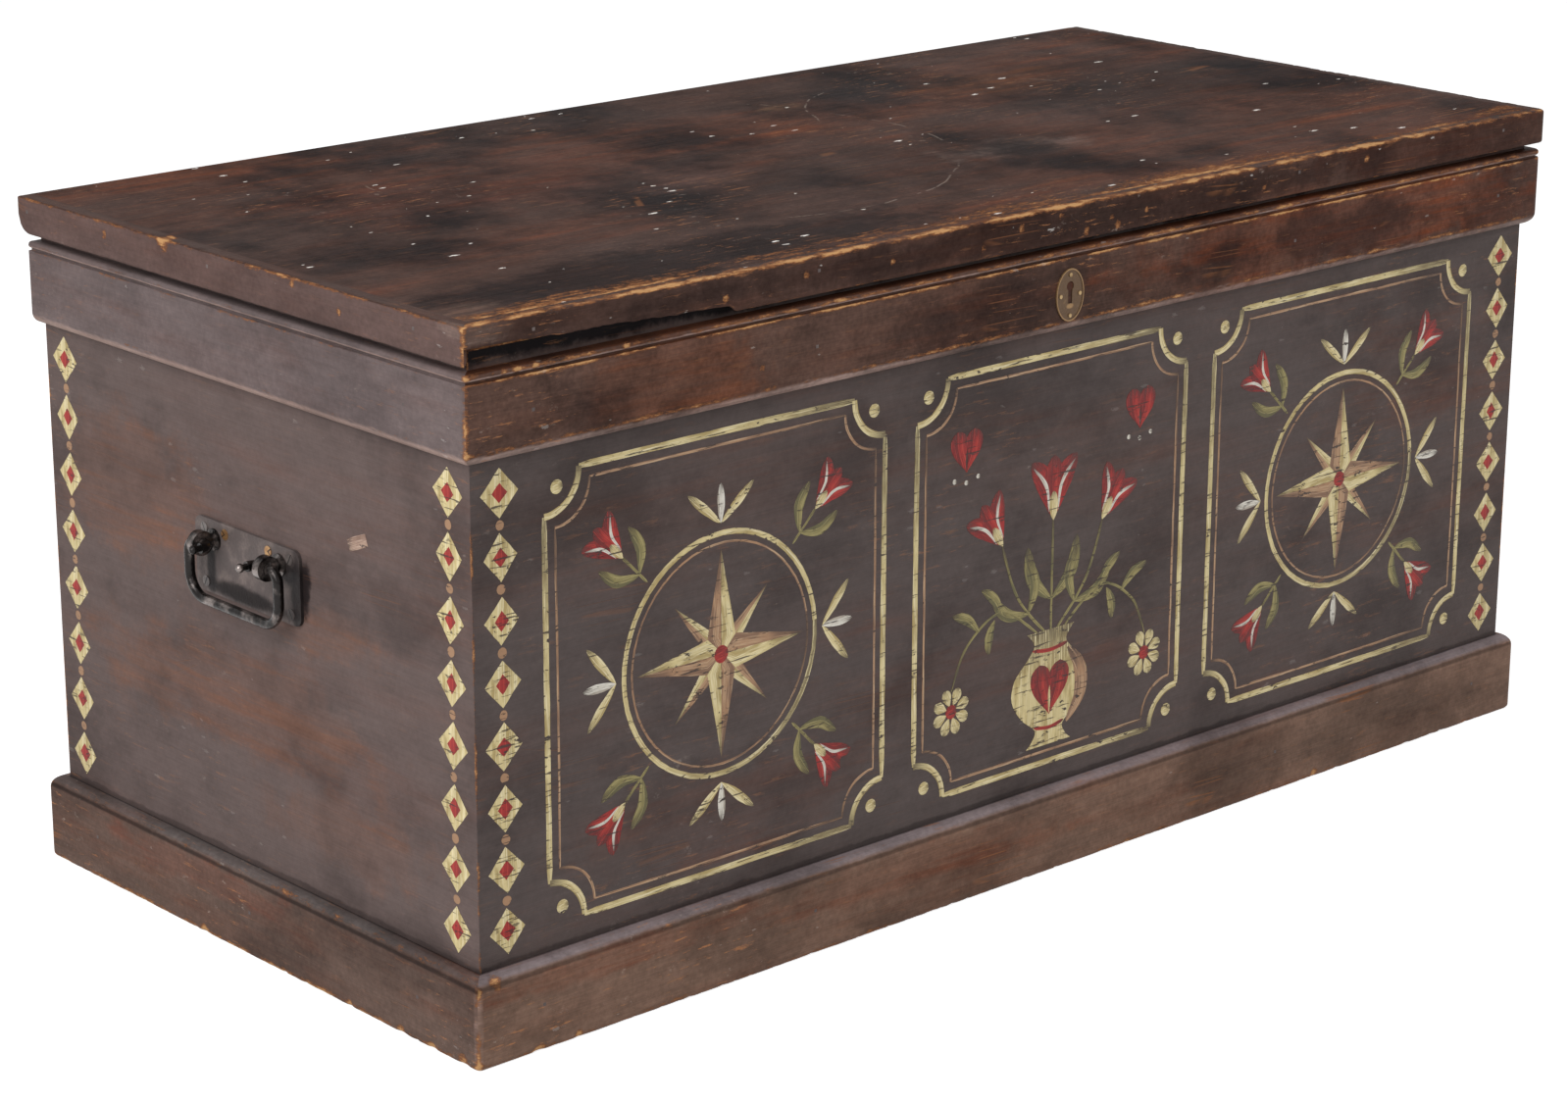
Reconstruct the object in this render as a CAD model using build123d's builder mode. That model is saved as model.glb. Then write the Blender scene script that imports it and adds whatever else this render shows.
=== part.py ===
# A dovetailed pine blanket chest with a lipped lid, a beaded band under the lid, a moulded
# plinth, a drop handle on each end, a box lock behind the front and two butt hinges.
# Millimetres. X runs along the front, Y from front to back, Z up from the floor. The origin
# is on the floor, under the middle of the chest.

import os

from build123d import *

# Driving dimensions of the carcase

WIDTH = 1090.0
DEPTH = 510.0
WALL = 20.0
RIM_Z = 497.0
FLOOR_GAP = 3.0
BOTTOM_THICK = 16.0
BOTTOM_BOARDS = 6

# Dovetails: tails on the front and back, pins on the ends

TAILS = 8
PIN_WIDTH = 20.0
DOVETAIL_SLOPE = 1 / 6

# Tongue and groove joint along the edges of the bottom and lid boards

TONGUE = 6.0
TONGUE_THICK = 5.0

# Plinth, a skirt on all four sides

PLINTH_HEIGHT = 65.0
PLINTH_THICK = 12.5
PLINTH_ROUND = 9.0
PLINTH_FOOT_ROUND = 3.0

# Band, the moulding on the front and ends that the lid closes down to

BAND_TOP_Z = 484.5
BAND_HEIGHT = 62.0
BAND_THICK = 11.0
BAND_FOOT_ROUND = 9.0
BEAD_RADIUS = 2.6
QUIRK_WIDTH = 1.4

# Lid

LID_TOP_Z = 517.0
LID_BACK_OVERHANG = 9.0
LID_BOARDS = 3
LIP_THICK = 12.0
LIP_HEIGHT = 27.0
LIP_GAP = 0.5
LIP_EDGE_ROUND = 1.6
LIP_BACK_ROUND = 13.0
BATTEN_X = 330.0
BATTEN_WIDTH = 50.0
BATTEN_THICK = 18.0
BATTEN_LENGTH = 440.0
BATTEN_BEVEL = 6.0

# The long splinter missing from the foot of the front lip: distance from the lip's left
# corner and height left open over the lip's foot

SPLINTER = [
    (0.0, 12.0),
    (38.0, 11.2),
    (84.0, 9.4),
    (127.0, 8.8),
    (163.0, 6.6),
    (205.0, 5.4),
    (225.5, 4.5),
    (231.5, 0.0),
]

# Hinges

HINGE_X = 350.0
HINGE_LENGTH = 76.0
LEAF_WIDTH = 17.0
LEAF_THICK = 2.0
KNUCKLE_RADIUS = 4.0
KNUCKLES = 5
KNUCKLE_GAP = 0.3
KNUCKLE_CLEARANCE = 0.7
HINGE_PIN_RADIUS = 2.0
HINGE_PIN_FIT = 0.06

# Lock, let into the inside of the front: width, depth and height of its case and face plate

LOCK_CASE = (80.0, 10.0, 56.0)
LOCK_PLATE = (96.0, 2.0, 62.0)
LOCK_SHEET = 1.6
LOCK_STUMP_RADIUS = 2.0
LOCK_STUMP_XS = (-14.0, 18.0)
LOCK_STUMP_Z = 476.0
KEY_PIN_RADIUS = 1.3
KEY_PIN_REACH = 5.0
BOLT_THICK = 4.0
BOLT_TRAVEL = 7.0
BOLT_SLOT_RADIUS = 2.3
BOLT_NOTCH = (8.0, 4.0)
BOLT_BARS = [
    ((-33.0, 471.0), (27.0, 481.0)),
    ((-33.0, 481.0), (-28.0, 491.0)),
    ((3.0, 481.0), (8.0, 491.0)),
    ((-28.0, 486.0), (-21.5, 491.0)),
    ((8.0, 486.0), (14.5, 491.0)),
]
LOOP_X = 18.0
LOOP_THICK = 2.0
LOOP_DROP = 15.0
LOOP_WIDTH = 7.6
LOOP_HOLE = (4.8, 5.8)
LOOP_HOLE_FOOT_Z = 485.6
LOOP_CLEARANCE = 0.8
LINK_HALF_LENGTH = 32.0
LINK_THICK = 2.0
KEYHOLE_Z = 456.5
KEYHOLE_RADIUS = 3.6
KEYHOLE_SLOT = 4.2
KEYHOLE_DROP = 13.0

# Oval keyhole plate on the band

ESCUTCHEON = (28.5, 39.5)
ESCUTCHEON_Z = 450.0
ESCUTCHEON_THICK = 1.5
ESCUTCHEON_PROUD = 0.6
ESCUTCHEON_RIM = 1.2
ESCUTCHEON_RIM_HEIGHT = 0.4
ESCUTCHEON_PIN_SPOTS = [(-10.0, 0.0), (10.0, 0.0), (0.0, -15.5), (0.0, 15.0)]
ESCUTCHEON_PIN_LENGTH = 9.0
ESCUTCHEON_PIN_HEAD = 1.5
ESCUTCHEON_PIN_SHANK = 0.8
ESCUTCHEON_PIN_PROUD = 0.7

# Drop handles

PLATE = (127.0, 55.0)
PLATE_THICK = 2.5
PLATE_Z = 290.5
PLATE_CORNER = 7.0
EYE_Y = 40.0
EYE_Z = 304.0
EYE_STANDOFF = 12.0
EYE_RADIUS = 9.0
EYE_HOLE = 4.3
EYE_THICK = 7.0
EYE_SHANK = 5.0
EYE_FLANGE = 8.0
EYE_FLANGE_THICK = 1.6
EYE_RIVET = 3.4
ROD_RADIUS = 3.8
BAIL_HALF_WIDTH = 54.5
BAIL_DROP = 41.0
BAIL_BOTTOM_ROUND = 18.0
BAIL_SHOULDER_ROUND = 9.0
FINIAL_Y = 28.5
FINIAL_ROUND = 6.0
FINIAL_REACH = 8.0
FINIAL_NECK = 2.3
FINIAL_BALL = 3.3
FINIAL_BALL_REACH = 13.5

# Fasteners

SCREW_HEAD = 4.0
SCREW_SHANK = 2.0
SMALL_SCREW_HEAD = 3.2
SMALL_SCREW_SHANK = 1.6
NAIL = 2.4
NAIL_LENGTH = 28.0
BOTTOM_NAIL_LENGTH = 45.0

# Lines and planes worked out from them

HALF_X = WIDTH / 2
HALF_Y = DEPTH / 2
WALL_FOOT_Z = FLOOR_GAP + BOTTOM_THICK
TAIL_PITCH = (RIM_Z - WALL_FOOT_Z) / TAILS
LID_THICK = LID_TOP_Z - RIM_Z
LID_X = HALF_X + LIP_GAP
LID_Y = HALF_Y + LIP_GAP
LID_BACK_Y = HALF_Y + LID_BACK_OVERHANG
HINGE_Y = HALF_Y + KNUCKLE_RADIUS + 0.5
HINGE_XS = (-HINGE_X, HINGE_X)
LEAF_OUTER_Y = HINGE_Y - KNUCKLE_RADIUS - KNUCKLE_GAP
LEAF_INNER_Y = LEAF_OUTER_Y - LEAF_WIDTH
LOCK_Y = -HALF_Y + WALL
LOCK_CASE_Y = LOCK_Y - LOCK_PLATE[1] - LOCK_CASE[1]
LOCK_FOOT_Z = RIM_Z - LOCK_PLATE[2]
LOOP_Y = (LOCK_CASE_Y + LOCK_SHEET + LOCK_Y - LOCK_PLATE[1]) / 2
BAND_FACE_Y = -HALF_Y - BAND_THICK
ESCUTCHEON_Y = BAND_FACE_Y - ESCUTCHEON_PROUD
ESCUTCHEON_BACK_Y = ESCUTCHEON_Y + ESCUTCHEON_THICK
EYE_OUT = PLATE_THICK + EYE_STANDOFF
LIP_FOOT_Z = LID_TOP_Z - LIP_HEIGHT
LOCK_CASE_FOOT_Z = RIM_Z - LOCK_PLATE[1] - LOCK_CASE[2]
LOW = (Align.MIN, Align.MIN, Align.MIN)
CENTRED_DRIVE = (Align.MIN, Align.CENTER, Align.CENTER)

os.makedirs("parts", exist_ok=True)


def write(part, name):
    """Label a finished piece and write it under its own name."""
    part.label = name
    export_step(part, f"parts/{name}.step")


def block(low, high, mode=Mode.ADD):
    """A straight-sided block between two corners, in the open part."""
    with Locations(tuple(low)):
        Box(*[b - a for a, b in zip(low, high)], align=LOW, mode=mode)


def rod(centre, along, radius, length, mode=Mode.ADD):
    """A round rod or bore about a point, in the open part."""
    with Locations(Plane(origin=centre, z_dir=along)):
        Cylinder(radius, length, mode=mode)


# Fasteners are driven along the X axis of a place on the outer face of what they hold


def driven(point, direction):
    """The place of a nail or screw, driven level into the chest."""
    return Location(Plane(origin=point, x_dir=direction, z_dir=(0, 0, 1)))


def driven_upright(point, up=1):
    """The place of a nail or screw, driven straight up, or down."""
    return Location(Plane(origin=point, x_dir=(0, 0, up), z_dir=(0, 1, 0)))


def nails(places, length=NAIL_LENGTH, mode=Mode.SUBTRACT):
    """Square nail shanks, or the holes that they fill, in the open part."""
    with Locations(*places):
        Box(length, NAIL, NAIL, align=CENTRED_DRIVE, mode=mode)


def screws(places, length, head=SCREW_HEAD, shank=SCREW_SHANK, proud=0.0, mode=Mode.SUBTRACT):
    """Countersunk screws, or the holes that they fill. The hidden shank is drawn square."""
    rise = [(-proud, 0), (-proud, head)] if proud else [(0, 0)]
    with BuildSketch() as section:
        with BuildLine():
            Polyline(*rise, (0, head), (head - shank, shank), (head - shank, 0), close=True)
        make_face()
    screw_head = revolve(section.sketch, axis=Axis.X, mode=Mode.PRIVATE)
    side = shank * 2**0.5
    with Locations(*places):
        add(screw_head, mode=mode)
        Box(length, side, side, align=CENTRED_DRIVE, mode=mode)


LONG_NAIL_X = (-500.0, -250.0, 250.0, 500.0)
END_NAIL_Y = (-200.0, 0.0, 200.0)
LIP_NAIL_Y = (-215.0, 20.0, 252.0)
PLINTH_NAIL_Z = 34.0
BAND_NAIL_Z = 453.0
LIP_NAIL_Z = RIM_Z + LID_THICK / 2
BOTTOM_NAIL_OFFSET = 60.0
SIDES = {"front": (0, -1), "back": (0, 1), "left": (-1, 0), "right": (1, 0)}


def side_nails(side, stand_out, z, end_ys=END_NAIL_Y):
    """Nails in a row along one side of the chest, driven in through a moulding."""
    x, y = SIDES[side]
    if x:
        points = [(x * (HALF_X + stand_out), along, z) for along in end_ys]
    else:
        points = [(along, y * (HALF_Y + stand_out), z) for along in LONG_NAIL_X]
    return [driven(point, (-x, -y, 0)) for point in points]


def bottom_nails(end):
    """Nails driven up through the bottom boards, into the front (-1) or the back (1)."""
    width = WIDTH / BOTTOM_BOARDS
    middles = [width * (board + 0.5) - HALF_X for board in range(BOTTOM_BOARDS)]
    xs = [x + offset for x in middles for offset in (-BOTTOM_NAIL_OFFSET, BOTTOM_NAIL_OFFSET)]
    return [driven_upright((x, end * (HALF_Y - WALL / 2), FLOOR_GAP)) for x in xs]


PLINTH_NAILS = {side: side_nails(side, PLINTH_THICK, PLINTH_NAIL_Z) for side in SIDES}
BAND_SIDES = ("front", "left", "right")
BAND_NAILS = {side: side_nails(side, BAND_THICK, BAND_NAIL_Z) for side in BAND_SIDES}
LIP_OUT = LIP_GAP + LIP_THICK
LIP_NAILS = {side: side_nails(side, LIP_OUT, LIP_NAIL_Z, LIP_NAIL_Y) for side in BAND_SIDES}
BOTTOM_NAILS = {"front": bottom_nails(-1), "back": bottom_nails(1)}

HINGE_SCREW_STEP = 26.0
HINGE_SCREW_LENGTH = 16.0


def hinge_screws(up):
    """Three screws in each hinge leaf, up into the lid or down into the rim."""
    y = LEAF_INNER_Y + LEAF_WIDTH / 2
    steps = (-HINGE_SCREW_STEP, 0, HINGE_SCREW_STEP)
    return [driven_upright((x + step, y, RIM_Z), up) for x in HINGE_XS for step in steps]


RIM_SCREWS = hinge_screws(-1)
LID_SCREWS = hinge_screws(1)

LOCK_SCREW_X = 44.0
LOCK_SCREW_LENGTH = 14.0
LOCK_SCREW_ZS = (LOCK_FOOT_Z + 6, RIM_Z - 10)
LOCK_SCREWS = [
    driven((x, LOCK_Y, z), (0, -1, 0)) for x in (-LOCK_SCREW_X, LOCK_SCREW_X) for z in LOCK_SCREW_ZS
]
LINK_SCREW_X = 27.0
LINK_SCREW_LENGTH = 15.0
LINK_Y = (LOCK_CASE_Y - 1 + LOCK_Y) / 2
LINK_SCREWS = [driven_upright((x, LINK_Y, RIM_Z)) for x in (-LINK_SCREW_X, LINK_SCREW_X)]

BATTEN_SCREW_LENGTH = 32.0
BATTEN_SCREWS = [
    driven_upright((x, y, RIM_Z - BATTEN_THICK))
    for x in (-BATTEN_X, BATTEN_X)
    for y in (-180.0, 0.0, 180.0)
]

CORNER_SCREW_Y = 52.0
CORNER_SCREW_RISE = 20.0
SPARE_SCREW_Y = 26.5
HANDLE_SCREW_LENGTH = 18.0
HANDLE_SCREW_PROUD = 0.5


def handle_screws(side, spots):
    """Screws through a handle's plate into the end, at spots given along Y and up."""
    face = side * (HALF_X + PLATE_THICK)
    return [driven((face, y, PLATE_Z + rise), (-side, 0, 0)) for y, rise in spots]


CORNER_SPOTS = [
    (y, rise)
    for y in (-CORNER_SCREW_Y, CORNER_SCREW_Y)
    for rise in (-CORNER_SCREW_RISE, CORNER_SCREW_RISE)
]
SPARE_SPOTS = [(y, CORNER_SCREW_RISE) for y in (-SPARE_SCREW_Y, SPARE_SCREW_Y)]

# Carcase: front and back with tails, ends with pins


def tails(from_y, mode=Mode.ADD):
    """The tails on both ends of a long board: each wide at its tip, narrow at its root."""
    root = PIN_WIDTH / 2
    tip = root - WALL * DOVETAIL_SLOPE
    with BuildSketch(Plane.XZ.offset(-from_y)) as outlines:
        for side in (-1, 1):
            for tail in range(TAILS):
                low = WALL_FOOT_Z + tail * TAIL_PITCH
                high = low + TAIL_PITCH
                with BuildLine():
                    Polyline(
                        (side * (HALF_X - WALL), low + root),
                        (side * HALF_X, low + tip),
                        (side * HALF_X, high - tip),
                        (side * (HALF_X - WALL), high - root),
                        close=True,
                    )
                make_face()
    extrude(outlines.sketch, amount=-WALL, mode=mode)


def keyhole(from_y, to_y):
    """The keyhole, a round hole over a slot, cut through the open part."""
    with BuildSketch(Plane.XZ.offset(-from_y)) as outline:
        with Locations((0, KEYHOLE_Z)):
            Circle(KEYHOLE_RADIUS)
        with Locations((0, KEYHOLE_Z - KEYHOLE_DROP / 2)):
            Rectangle(KEYHOLE_SLOT, KEYHOLE_DROP)
    extrude(outline.sketch, amount=from_y - to_y, mode=Mode.SUBTRACT)


def lock_blocks(mode):
    """The lock's case, face plate and top strip, or the mortise that they fill."""
    case, plate, strip = LOCK_CASE[0] / 2, LOCK_PLATE[0] / 2, LOCK_PLATE[1]
    block((-case, LOCK_CASE_Y, LOCK_CASE_FOOT_Z), (case, LOCK_Y, RIM_Z), mode)
    block((-plate, LOCK_Y - strip, LOCK_FOOT_Z), (plate, LOCK_Y, RIM_Z), mode)
    block((-plate, LOCK_CASE_Y - 1, RIM_Z - strip), (plate, LOCK_Y, RIM_Z), mode)


def link_plate(mode):
    """The plate under the lid, or the recess that it fills."""
    low = (-LINK_HALF_LENGTH, LOCK_CASE_Y, RIM_Z)
    block(low, (LINK_HALF_LENGTH, LOCK_Y, RIM_Z + LINK_THICK), mode)


def hinge_gain(hinge_x):
    """The recess of a hinge's upper leaf, and the notch in the lid's edge for its knuckles."""
    left, right = hinge_x - HINGE_LENGTH / 2, hinge_x + HINGE_LENGTH / 2
    block((left, LEAF_INNER_Y, RIM_Z), (right, LEAF_OUTER_Y, RIM_Z + LEAF_THICK), Mode.SUBTRACT)
    ease = KNUCKLE_CLEARANCE / 2
    low = (left - ease, HINGE_Y - KNUCKLE_RADIUS - KNUCKLE_CLEARANCE, RIM_Z)
    high = (right + ease, LID_BACK_Y, RIM_Z + KNUCKLE_RADIUS + KNUCKLE_CLEARANCE)
    block(low, high, Mode.SUBTRACT)


def splinter():
    """The long splinter missing from the foot of the front lip."""
    corner = -LID_X - LIP_THICK
    top = [(corner + along, LIP_FOOT_Z + height) for along, height in SPLINTER]
    below = [(top[-1][0], LIP_FOOT_Z - 1), (corner - 1, LIP_FOOT_Z - 1), (corner - 1, top[0][1])]
    with BuildSketch(Plane.XZ.offset(LID_Y)) as outline:
        with BuildLine():
            Polyline(*top, *below, close=True)
        make_face()
    extrude(outline.sketch, amount=LIP_THICK, mode=Mode.SUBTRACT)


with BuildPart() as front_board:
    block((WALL - HALF_X, -HALF_Y, WALL_FOOT_Z), (HALF_X - WALL, LOCK_Y, RIM_Z))
    tails(-HALF_Y)
    lock_blocks(Mode.SUBTRACT)
    keyhole(-HALF_Y, LOCK_CASE_Y)
    screws(LOCK_SCREWS, LOCK_SCREW_LENGTH, SMALL_SCREW_HEAD, SMALL_SCREW_SHANK)
    nails(PLINTH_NAILS["front"] + BAND_NAILS["front"])
    nails(BOTTOM_NAILS["front"], BOTTOM_NAIL_LENGTH)
write(front_board.part, "front_board")

with BuildPart() as back_board:
    block((WALL - HALF_X, HALF_Y - WALL, WALL_FOOT_Z), (HALF_X - WALL, HALF_Y, RIM_Z))
    tails(HALF_Y - WALL)
    for hinge_x in HINGE_XS:
        block(
            (hinge_x - HINGE_LENGTH / 2, LEAF_INNER_Y, RIM_Z - LEAF_THICK),
            (hinge_x + HINGE_LENGTH / 2, HALF_Y, RIM_Z),
            Mode.SUBTRACT,
        )
    screws(RIM_SCREWS, HINGE_SCREW_LENGTH)
    nails(PLINTH_NAILS["back"])
    nails(BOTTOM_NAILS["back"], BOTTOM_NAIL_LENGTH)
write(back_board.part, "back_board")


def end_board(side, name):
    """An end of the carcase, with pins that fill the gaps between the tails."""
    low_x, high_x = sorted((side * HALF_X, side * (HALF_X - WALL)))
    with BuildPart() as board:
        block((low_x, -HALF_Y, WALL_FOOT_Z), (high_x, HALF_Y, RIM_Z))
        tails(-HALF_Y, Mode.SUBTRACT)
        tails(HALF_Y - WALL, Mode.SUBTRACT)
        screws(handle_screws(side, CORNER_SPOTS + SPARE_SPOTS), HANDLE_SCREW_LENGTH)
        nails(PLINTH_NAILS[name] + BAND_NAILS[name])
    return board.part


write(end_board(-1, "left"), "left_end_board")
write(end_board(1, "right"), "right_end_board")

# Bottom: boards that run from front to back, tongued into each other


def tongues(low, high, axis, on_high, on_low):
    """A tongue on a board's high edge and a groove in its low edge, in the open part."""
    middle = (low[2] + high[2]) / 2
    for wanted, edge, mode in ((on_high, high, Mode.ADD), (on_low, low, Mode.SUBTRACT)):
        start = [*low[:2], middle - TONGUE_THICK / 2]
        stop = [*high[:2], middle + TONGUE_THICK / 2]
        start[axis], stop[axis] = edge[axis], edge[axis] + TONGUE
        if wanted:
            block(start, stop, mode)


for number in range(BOTTOM_BOARDS):
    left = number * WIDTH / BOTTOM_BOARDS - HALF_X
    near = (left, -HALF_Y, FLOOR_GAP)
    far = (left + WIDTH / BOTTOM_BOARDS, HALF_Y, WALL_FOOT_Z)
    own_nails = BOTTOM_NAILS["front"] + BOTTOM_NAILS["back"]
    with BuildPart() as bottom_board:
        block(near, far)
        tongues(near, far, 0, number < BOTTOM_BOARDS - 1, number > 0)
        nails(own_nails, BOTTOM_NAIL_LENGTH)
    write(bottom_board.part, f"bottom_board_{number + 1}")

# Mouldings: a section run along one side of the chest and mitred where it meets the next.
# A section is drawn with X outward from its inner face and Y up.


def section_plane(side, gap=0.0):
    """The plane of a section, across the middle of one side."""
    x, y = SIDES[side]
    return Plane(
        origin=(x * (HALF_X + gap), y * (HALF_Y + gap), 0), x_dir=(x, y, 0), z_dir=(y, -x, 0)
    )


def run(section, side, gap, ends):
    """Run a section along a side of the open part, mitred at the given ends of the side."""
    x, y = SIDES[side]
    reach = (HALF_Y if x else HALF_X) + gap + PLINTH_THICK + LIP_THICK
    extrude(section, amount=reach, both=True)
    for end in ends:
        corner_x, corner_y = (x, end) if x else (end, y)
        origin = (corner_x * (HALF_X + gap), corner_y * (HALF_Y + gap), 0)
        split(
            bisect_by=Plane(origin=origin, z_dir=(corner_x, -corner_y, 0)),
            keep=Keep.TOP if x else Keep.BOTTOM,
        )


def plinth_section(side):
    """The plinth's section: a well rounded top that runs in to the carcase, an eased foot."""
    with BuildSketch(section_plane(side)) as section:
        with BuildLine():
            FilletPolyline(
                (0, 0),
                (PLINTH_THICK, 0),
                (PLINTH_THICK, PLINTH_HEIGHT),
                (0, PLINTH_HEIGHT),
                radius=[PLINTH_FOOT_ROUND, PLINTH_ROUND],
            )
            Line((0, PLINTH_HEIGHT), (0, 0))
        make_face()
    return section.sketch


def band_section(side):
    """The band's section: a bead and its quirk over a flat face, and a rounded foot."""
    foot = BAND_TOP_Z - BAND_HEIGHT
    bead_edge = BAND_THICK - BEAD_RADIUS
    bead_foot = BAND_TOP_Z - 2 * BEAD_RADIUS
    with BuildSketch(section_plane(side)) as section:
        with BuildLine():
            FilletPolyline(
                (0, foot),
                (BAND_THICK, foot),
                (BAND_THICK, bead_foot - QUIRK_WIDTH),
                radius=BAND_FOOT_ROUND,
            )
            Polyline(
                (BAND_THICK, bead_foot - QUIRK_WIDTH),
                (bead_edge, bead_foot - QUIRK_WIDTH),
                (bead_edge, bead_foot),
            )
            ThreePointArc(
                (bead_edge, bead_foot),
                (BAND_THICK, bead_foot + BEAD_RADIUS),
                (bead_edge, BAND_TOP_Z),
            )
            Polyline((bead_edge, BAND_TOP_Z), (0, BAND_TOP_Z), (0, foot))
        make_face()
    return section.sketch


def lip_section(side):
    """A lid lip's section: a plain strip with its outer edges eased."""
    with BuildSketch(section_plane(side, LIP_GAP)) as section:
        with BuildLine():
            FilletPolyline(
                (0, LIP_FOOT_Z),
                (LIP_THICK, LIP_FOOT_Z),
                (LIP_THICK, LID_TOP_Z),
                (0, LID_TOP_Z),
                radius=LIP_EDGE_ROUND,
            )
            Line((0, LID_TOP_Z), (0, LIP_FOOT_Z))
        make_face()
    return section.sketch


def round_back_foot():
    """Round the lower back corner of a side lip."""
    middle = LIP_BACK_ROUND * (1 - 2**-0.5)
    start_y, top_z = LID_BACK_Y - LIP_BACK_ROUND, LIP_FOOT_Z + LIP_BACK_ROUND
    with BuildSketch(Plane.YZ) as waste:
        with BuildLine():
            ThreePointArc(
                (LID_BACK_Y, top_z), (LID_BACK_Y - middle, LIP_FOOT_Z + middle), (start_y, LIP_FOOT_Z)
            )
            Polyline(
                (start_y, LIP_FOOT_Z),
                (start_y, LIP_FOOT_Z - 1),
                (LID_BACK_Y + 1, LIP_FOOT_Z - 1),
                (LID_BACK_Y + 1, top_z),
                (LID_BACK_Y, top_z),
            )
        make_face()
    extrude(waste.sketch, amount=WIDTH, both=True, mode=Mode.SUBTRACT)


def end_off_at(y):
    """Saw off the open part square behind a depth."""
    split(bisect_by=Plane(origin=(0, y, 0), z_dir=(0, 1, 0)), keep=Keep.BOTTOM)


for side_name in SIDES:
    with BuildPart() as plinth:
        run(plinth_section(side_name), side_name, 0, (-1, 1))
        nails(PLINTH_NAILS[side_name])
    write(plinth.part, f"plinth_{side_name}")


def escutcheon_oval(from_y, to_y, trim=0.0):
    """A flat oval the size of the keyhole plate, less a trim all round."""
    with BuildSketch(Plane.XZ.offset(-from_y)) as oval:
        with Locations((0, ESCUTCHEON_Z)):
            Ellipse(ESCUTCHEON[0] / 2 - trim, ESCUTCHEON[1] / 2 - trim)
    return extrude(oval.sketch, amount=from_y - to_y, mode=Mode.PRIVATE)


def escutcheon_pins(mode):
    """The four pins of the keyhole plate, or their holes, in the open part."""
    for x, rise in ESCUTCHEON_PIN_SPOTS:
        z = ESCUTCHEON_Z + rise
        head_middle = (x, ESCUTCHEON_Y - ESCUTCHEON_PIN_PROUD / 2, z)
        rod(head_middle, (0, 1, 0), ESCUTCHEON_PIN_HEAD, ESCUTCHEON_PIN_PROUD, mode)
        low = (x - ESCUTCHEON_PIN_SHANK, ESCUTCHEON_Y, z - ESCUTCHEON_PIN_SHANK)
        high_y = ESCUTCHEON_Y + ESCUTCHEON_PIN_LENGTH
        block(low, (x + ESCUTCHEON_PIN_SHANK, high_y, z + ESCUTCHEON_PIN_SHANK), mode)


for side_name in BAND_SIDES:
    on_front = side_name == "front"
    with BuildPart() as band:
        run(band_section(side_name), side_name, 0, (-1, 1) if on_front else (-1,))
        nails(BAND_NAILS[side_name])
        if on_front:
            add(escutcheon_oval(BAND_FACE_Y, ESCUTCHEON_BACK_Y), mode=Mode.SUBTRACT)
            keyhole(BAND_FACE_Y, -HALF_Y)
            escutcheon_pins(Mode.SUBTRACT)
        else:
            end_off_at(HALF_Y)
    write(band.part, f"band_{side_name}")

with BuildPart() as escutcheon:
    add(escutcheon_oval(ESCUTCHEON_Y - ESCUTCHEON_RIM_HEIGHT, ESCUTCHEON_BACK_Y))
    add(
        escutcheon_oval(ESCUTCHEON_Y - ESCUTCHEON_RIM_HEIGHT, ESCUTCHEON_Y, ESCUTCHEON_RIM),
        mode=Mode.SUBTRACT,
    )
    keyhole(ESCUTCHEON_Y - ESCUTCHEON_RIM_HEIGHT, ESCUTCHEON_BACK_Y)
    escutcheon_pins(Mode.SUBTRACT)
write(escutcheon.part, "escutcheon")

with BuildPart() as escutcheon_pin_group:
    escutcheon_pins(Mode.ADD)
write(escutcheon_pin_group.part, "escutcheon_pins")

# Lid: boards along the front, tongued together, lipped on the front and ends, with two
# battens screwed up under them

for number in range(LID_BOARDS):
    width = (LID_BACK_Y + LID_Y) / LID_BOARDS
    near = (-LID_X, number * width - LID_Y, RIM_Z)
    far = (LID_X, (number + 1) * width - LID_Y, LID_TOP_Z)
    with BuildPart() as lid_board:
        block(near, far)
        tongues(near, far, 1, number < LID_BOARDS - 1, number > 0)
        nails([place for places in LIP_NAILS.values() for place in places])
        screws(BATTEN_SCREWS, BATTEN_SCREW_LENGTH)
        if number == 0:
            link_plate(Mode.SUBTRACT)
            screws(LINK_SCREWS, LINK_SCREW_LENGTH, SMALL_SCREW_HEAD, SMALL_SCREW_SHANK)
        if number == LID_BOARDS - 1:
            for hinge_x in HINGE_XS:
                hinge_gain(hinge_x)
            screws(LID_SCREWS, HINGE_SCREW_LENGTH)
    write(lid_board.part, f"lid_board_{number + 1}")

for side_name in BAND_SIDES:
    on_front = side_name == "front"
    with BuildPart() as lip:
        run(lip_section(side_name), side_name, LIP_GAP, (-1, 1) if on_front else (-1,))
        nails(LIP_NAILS[side_name])
        if on_front:
            splinter()
        else:
            end_off_at(LID_BACK_Y)
            round_back_foot()
    write(lip.part, f"lid_lip_{side_name}")

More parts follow.
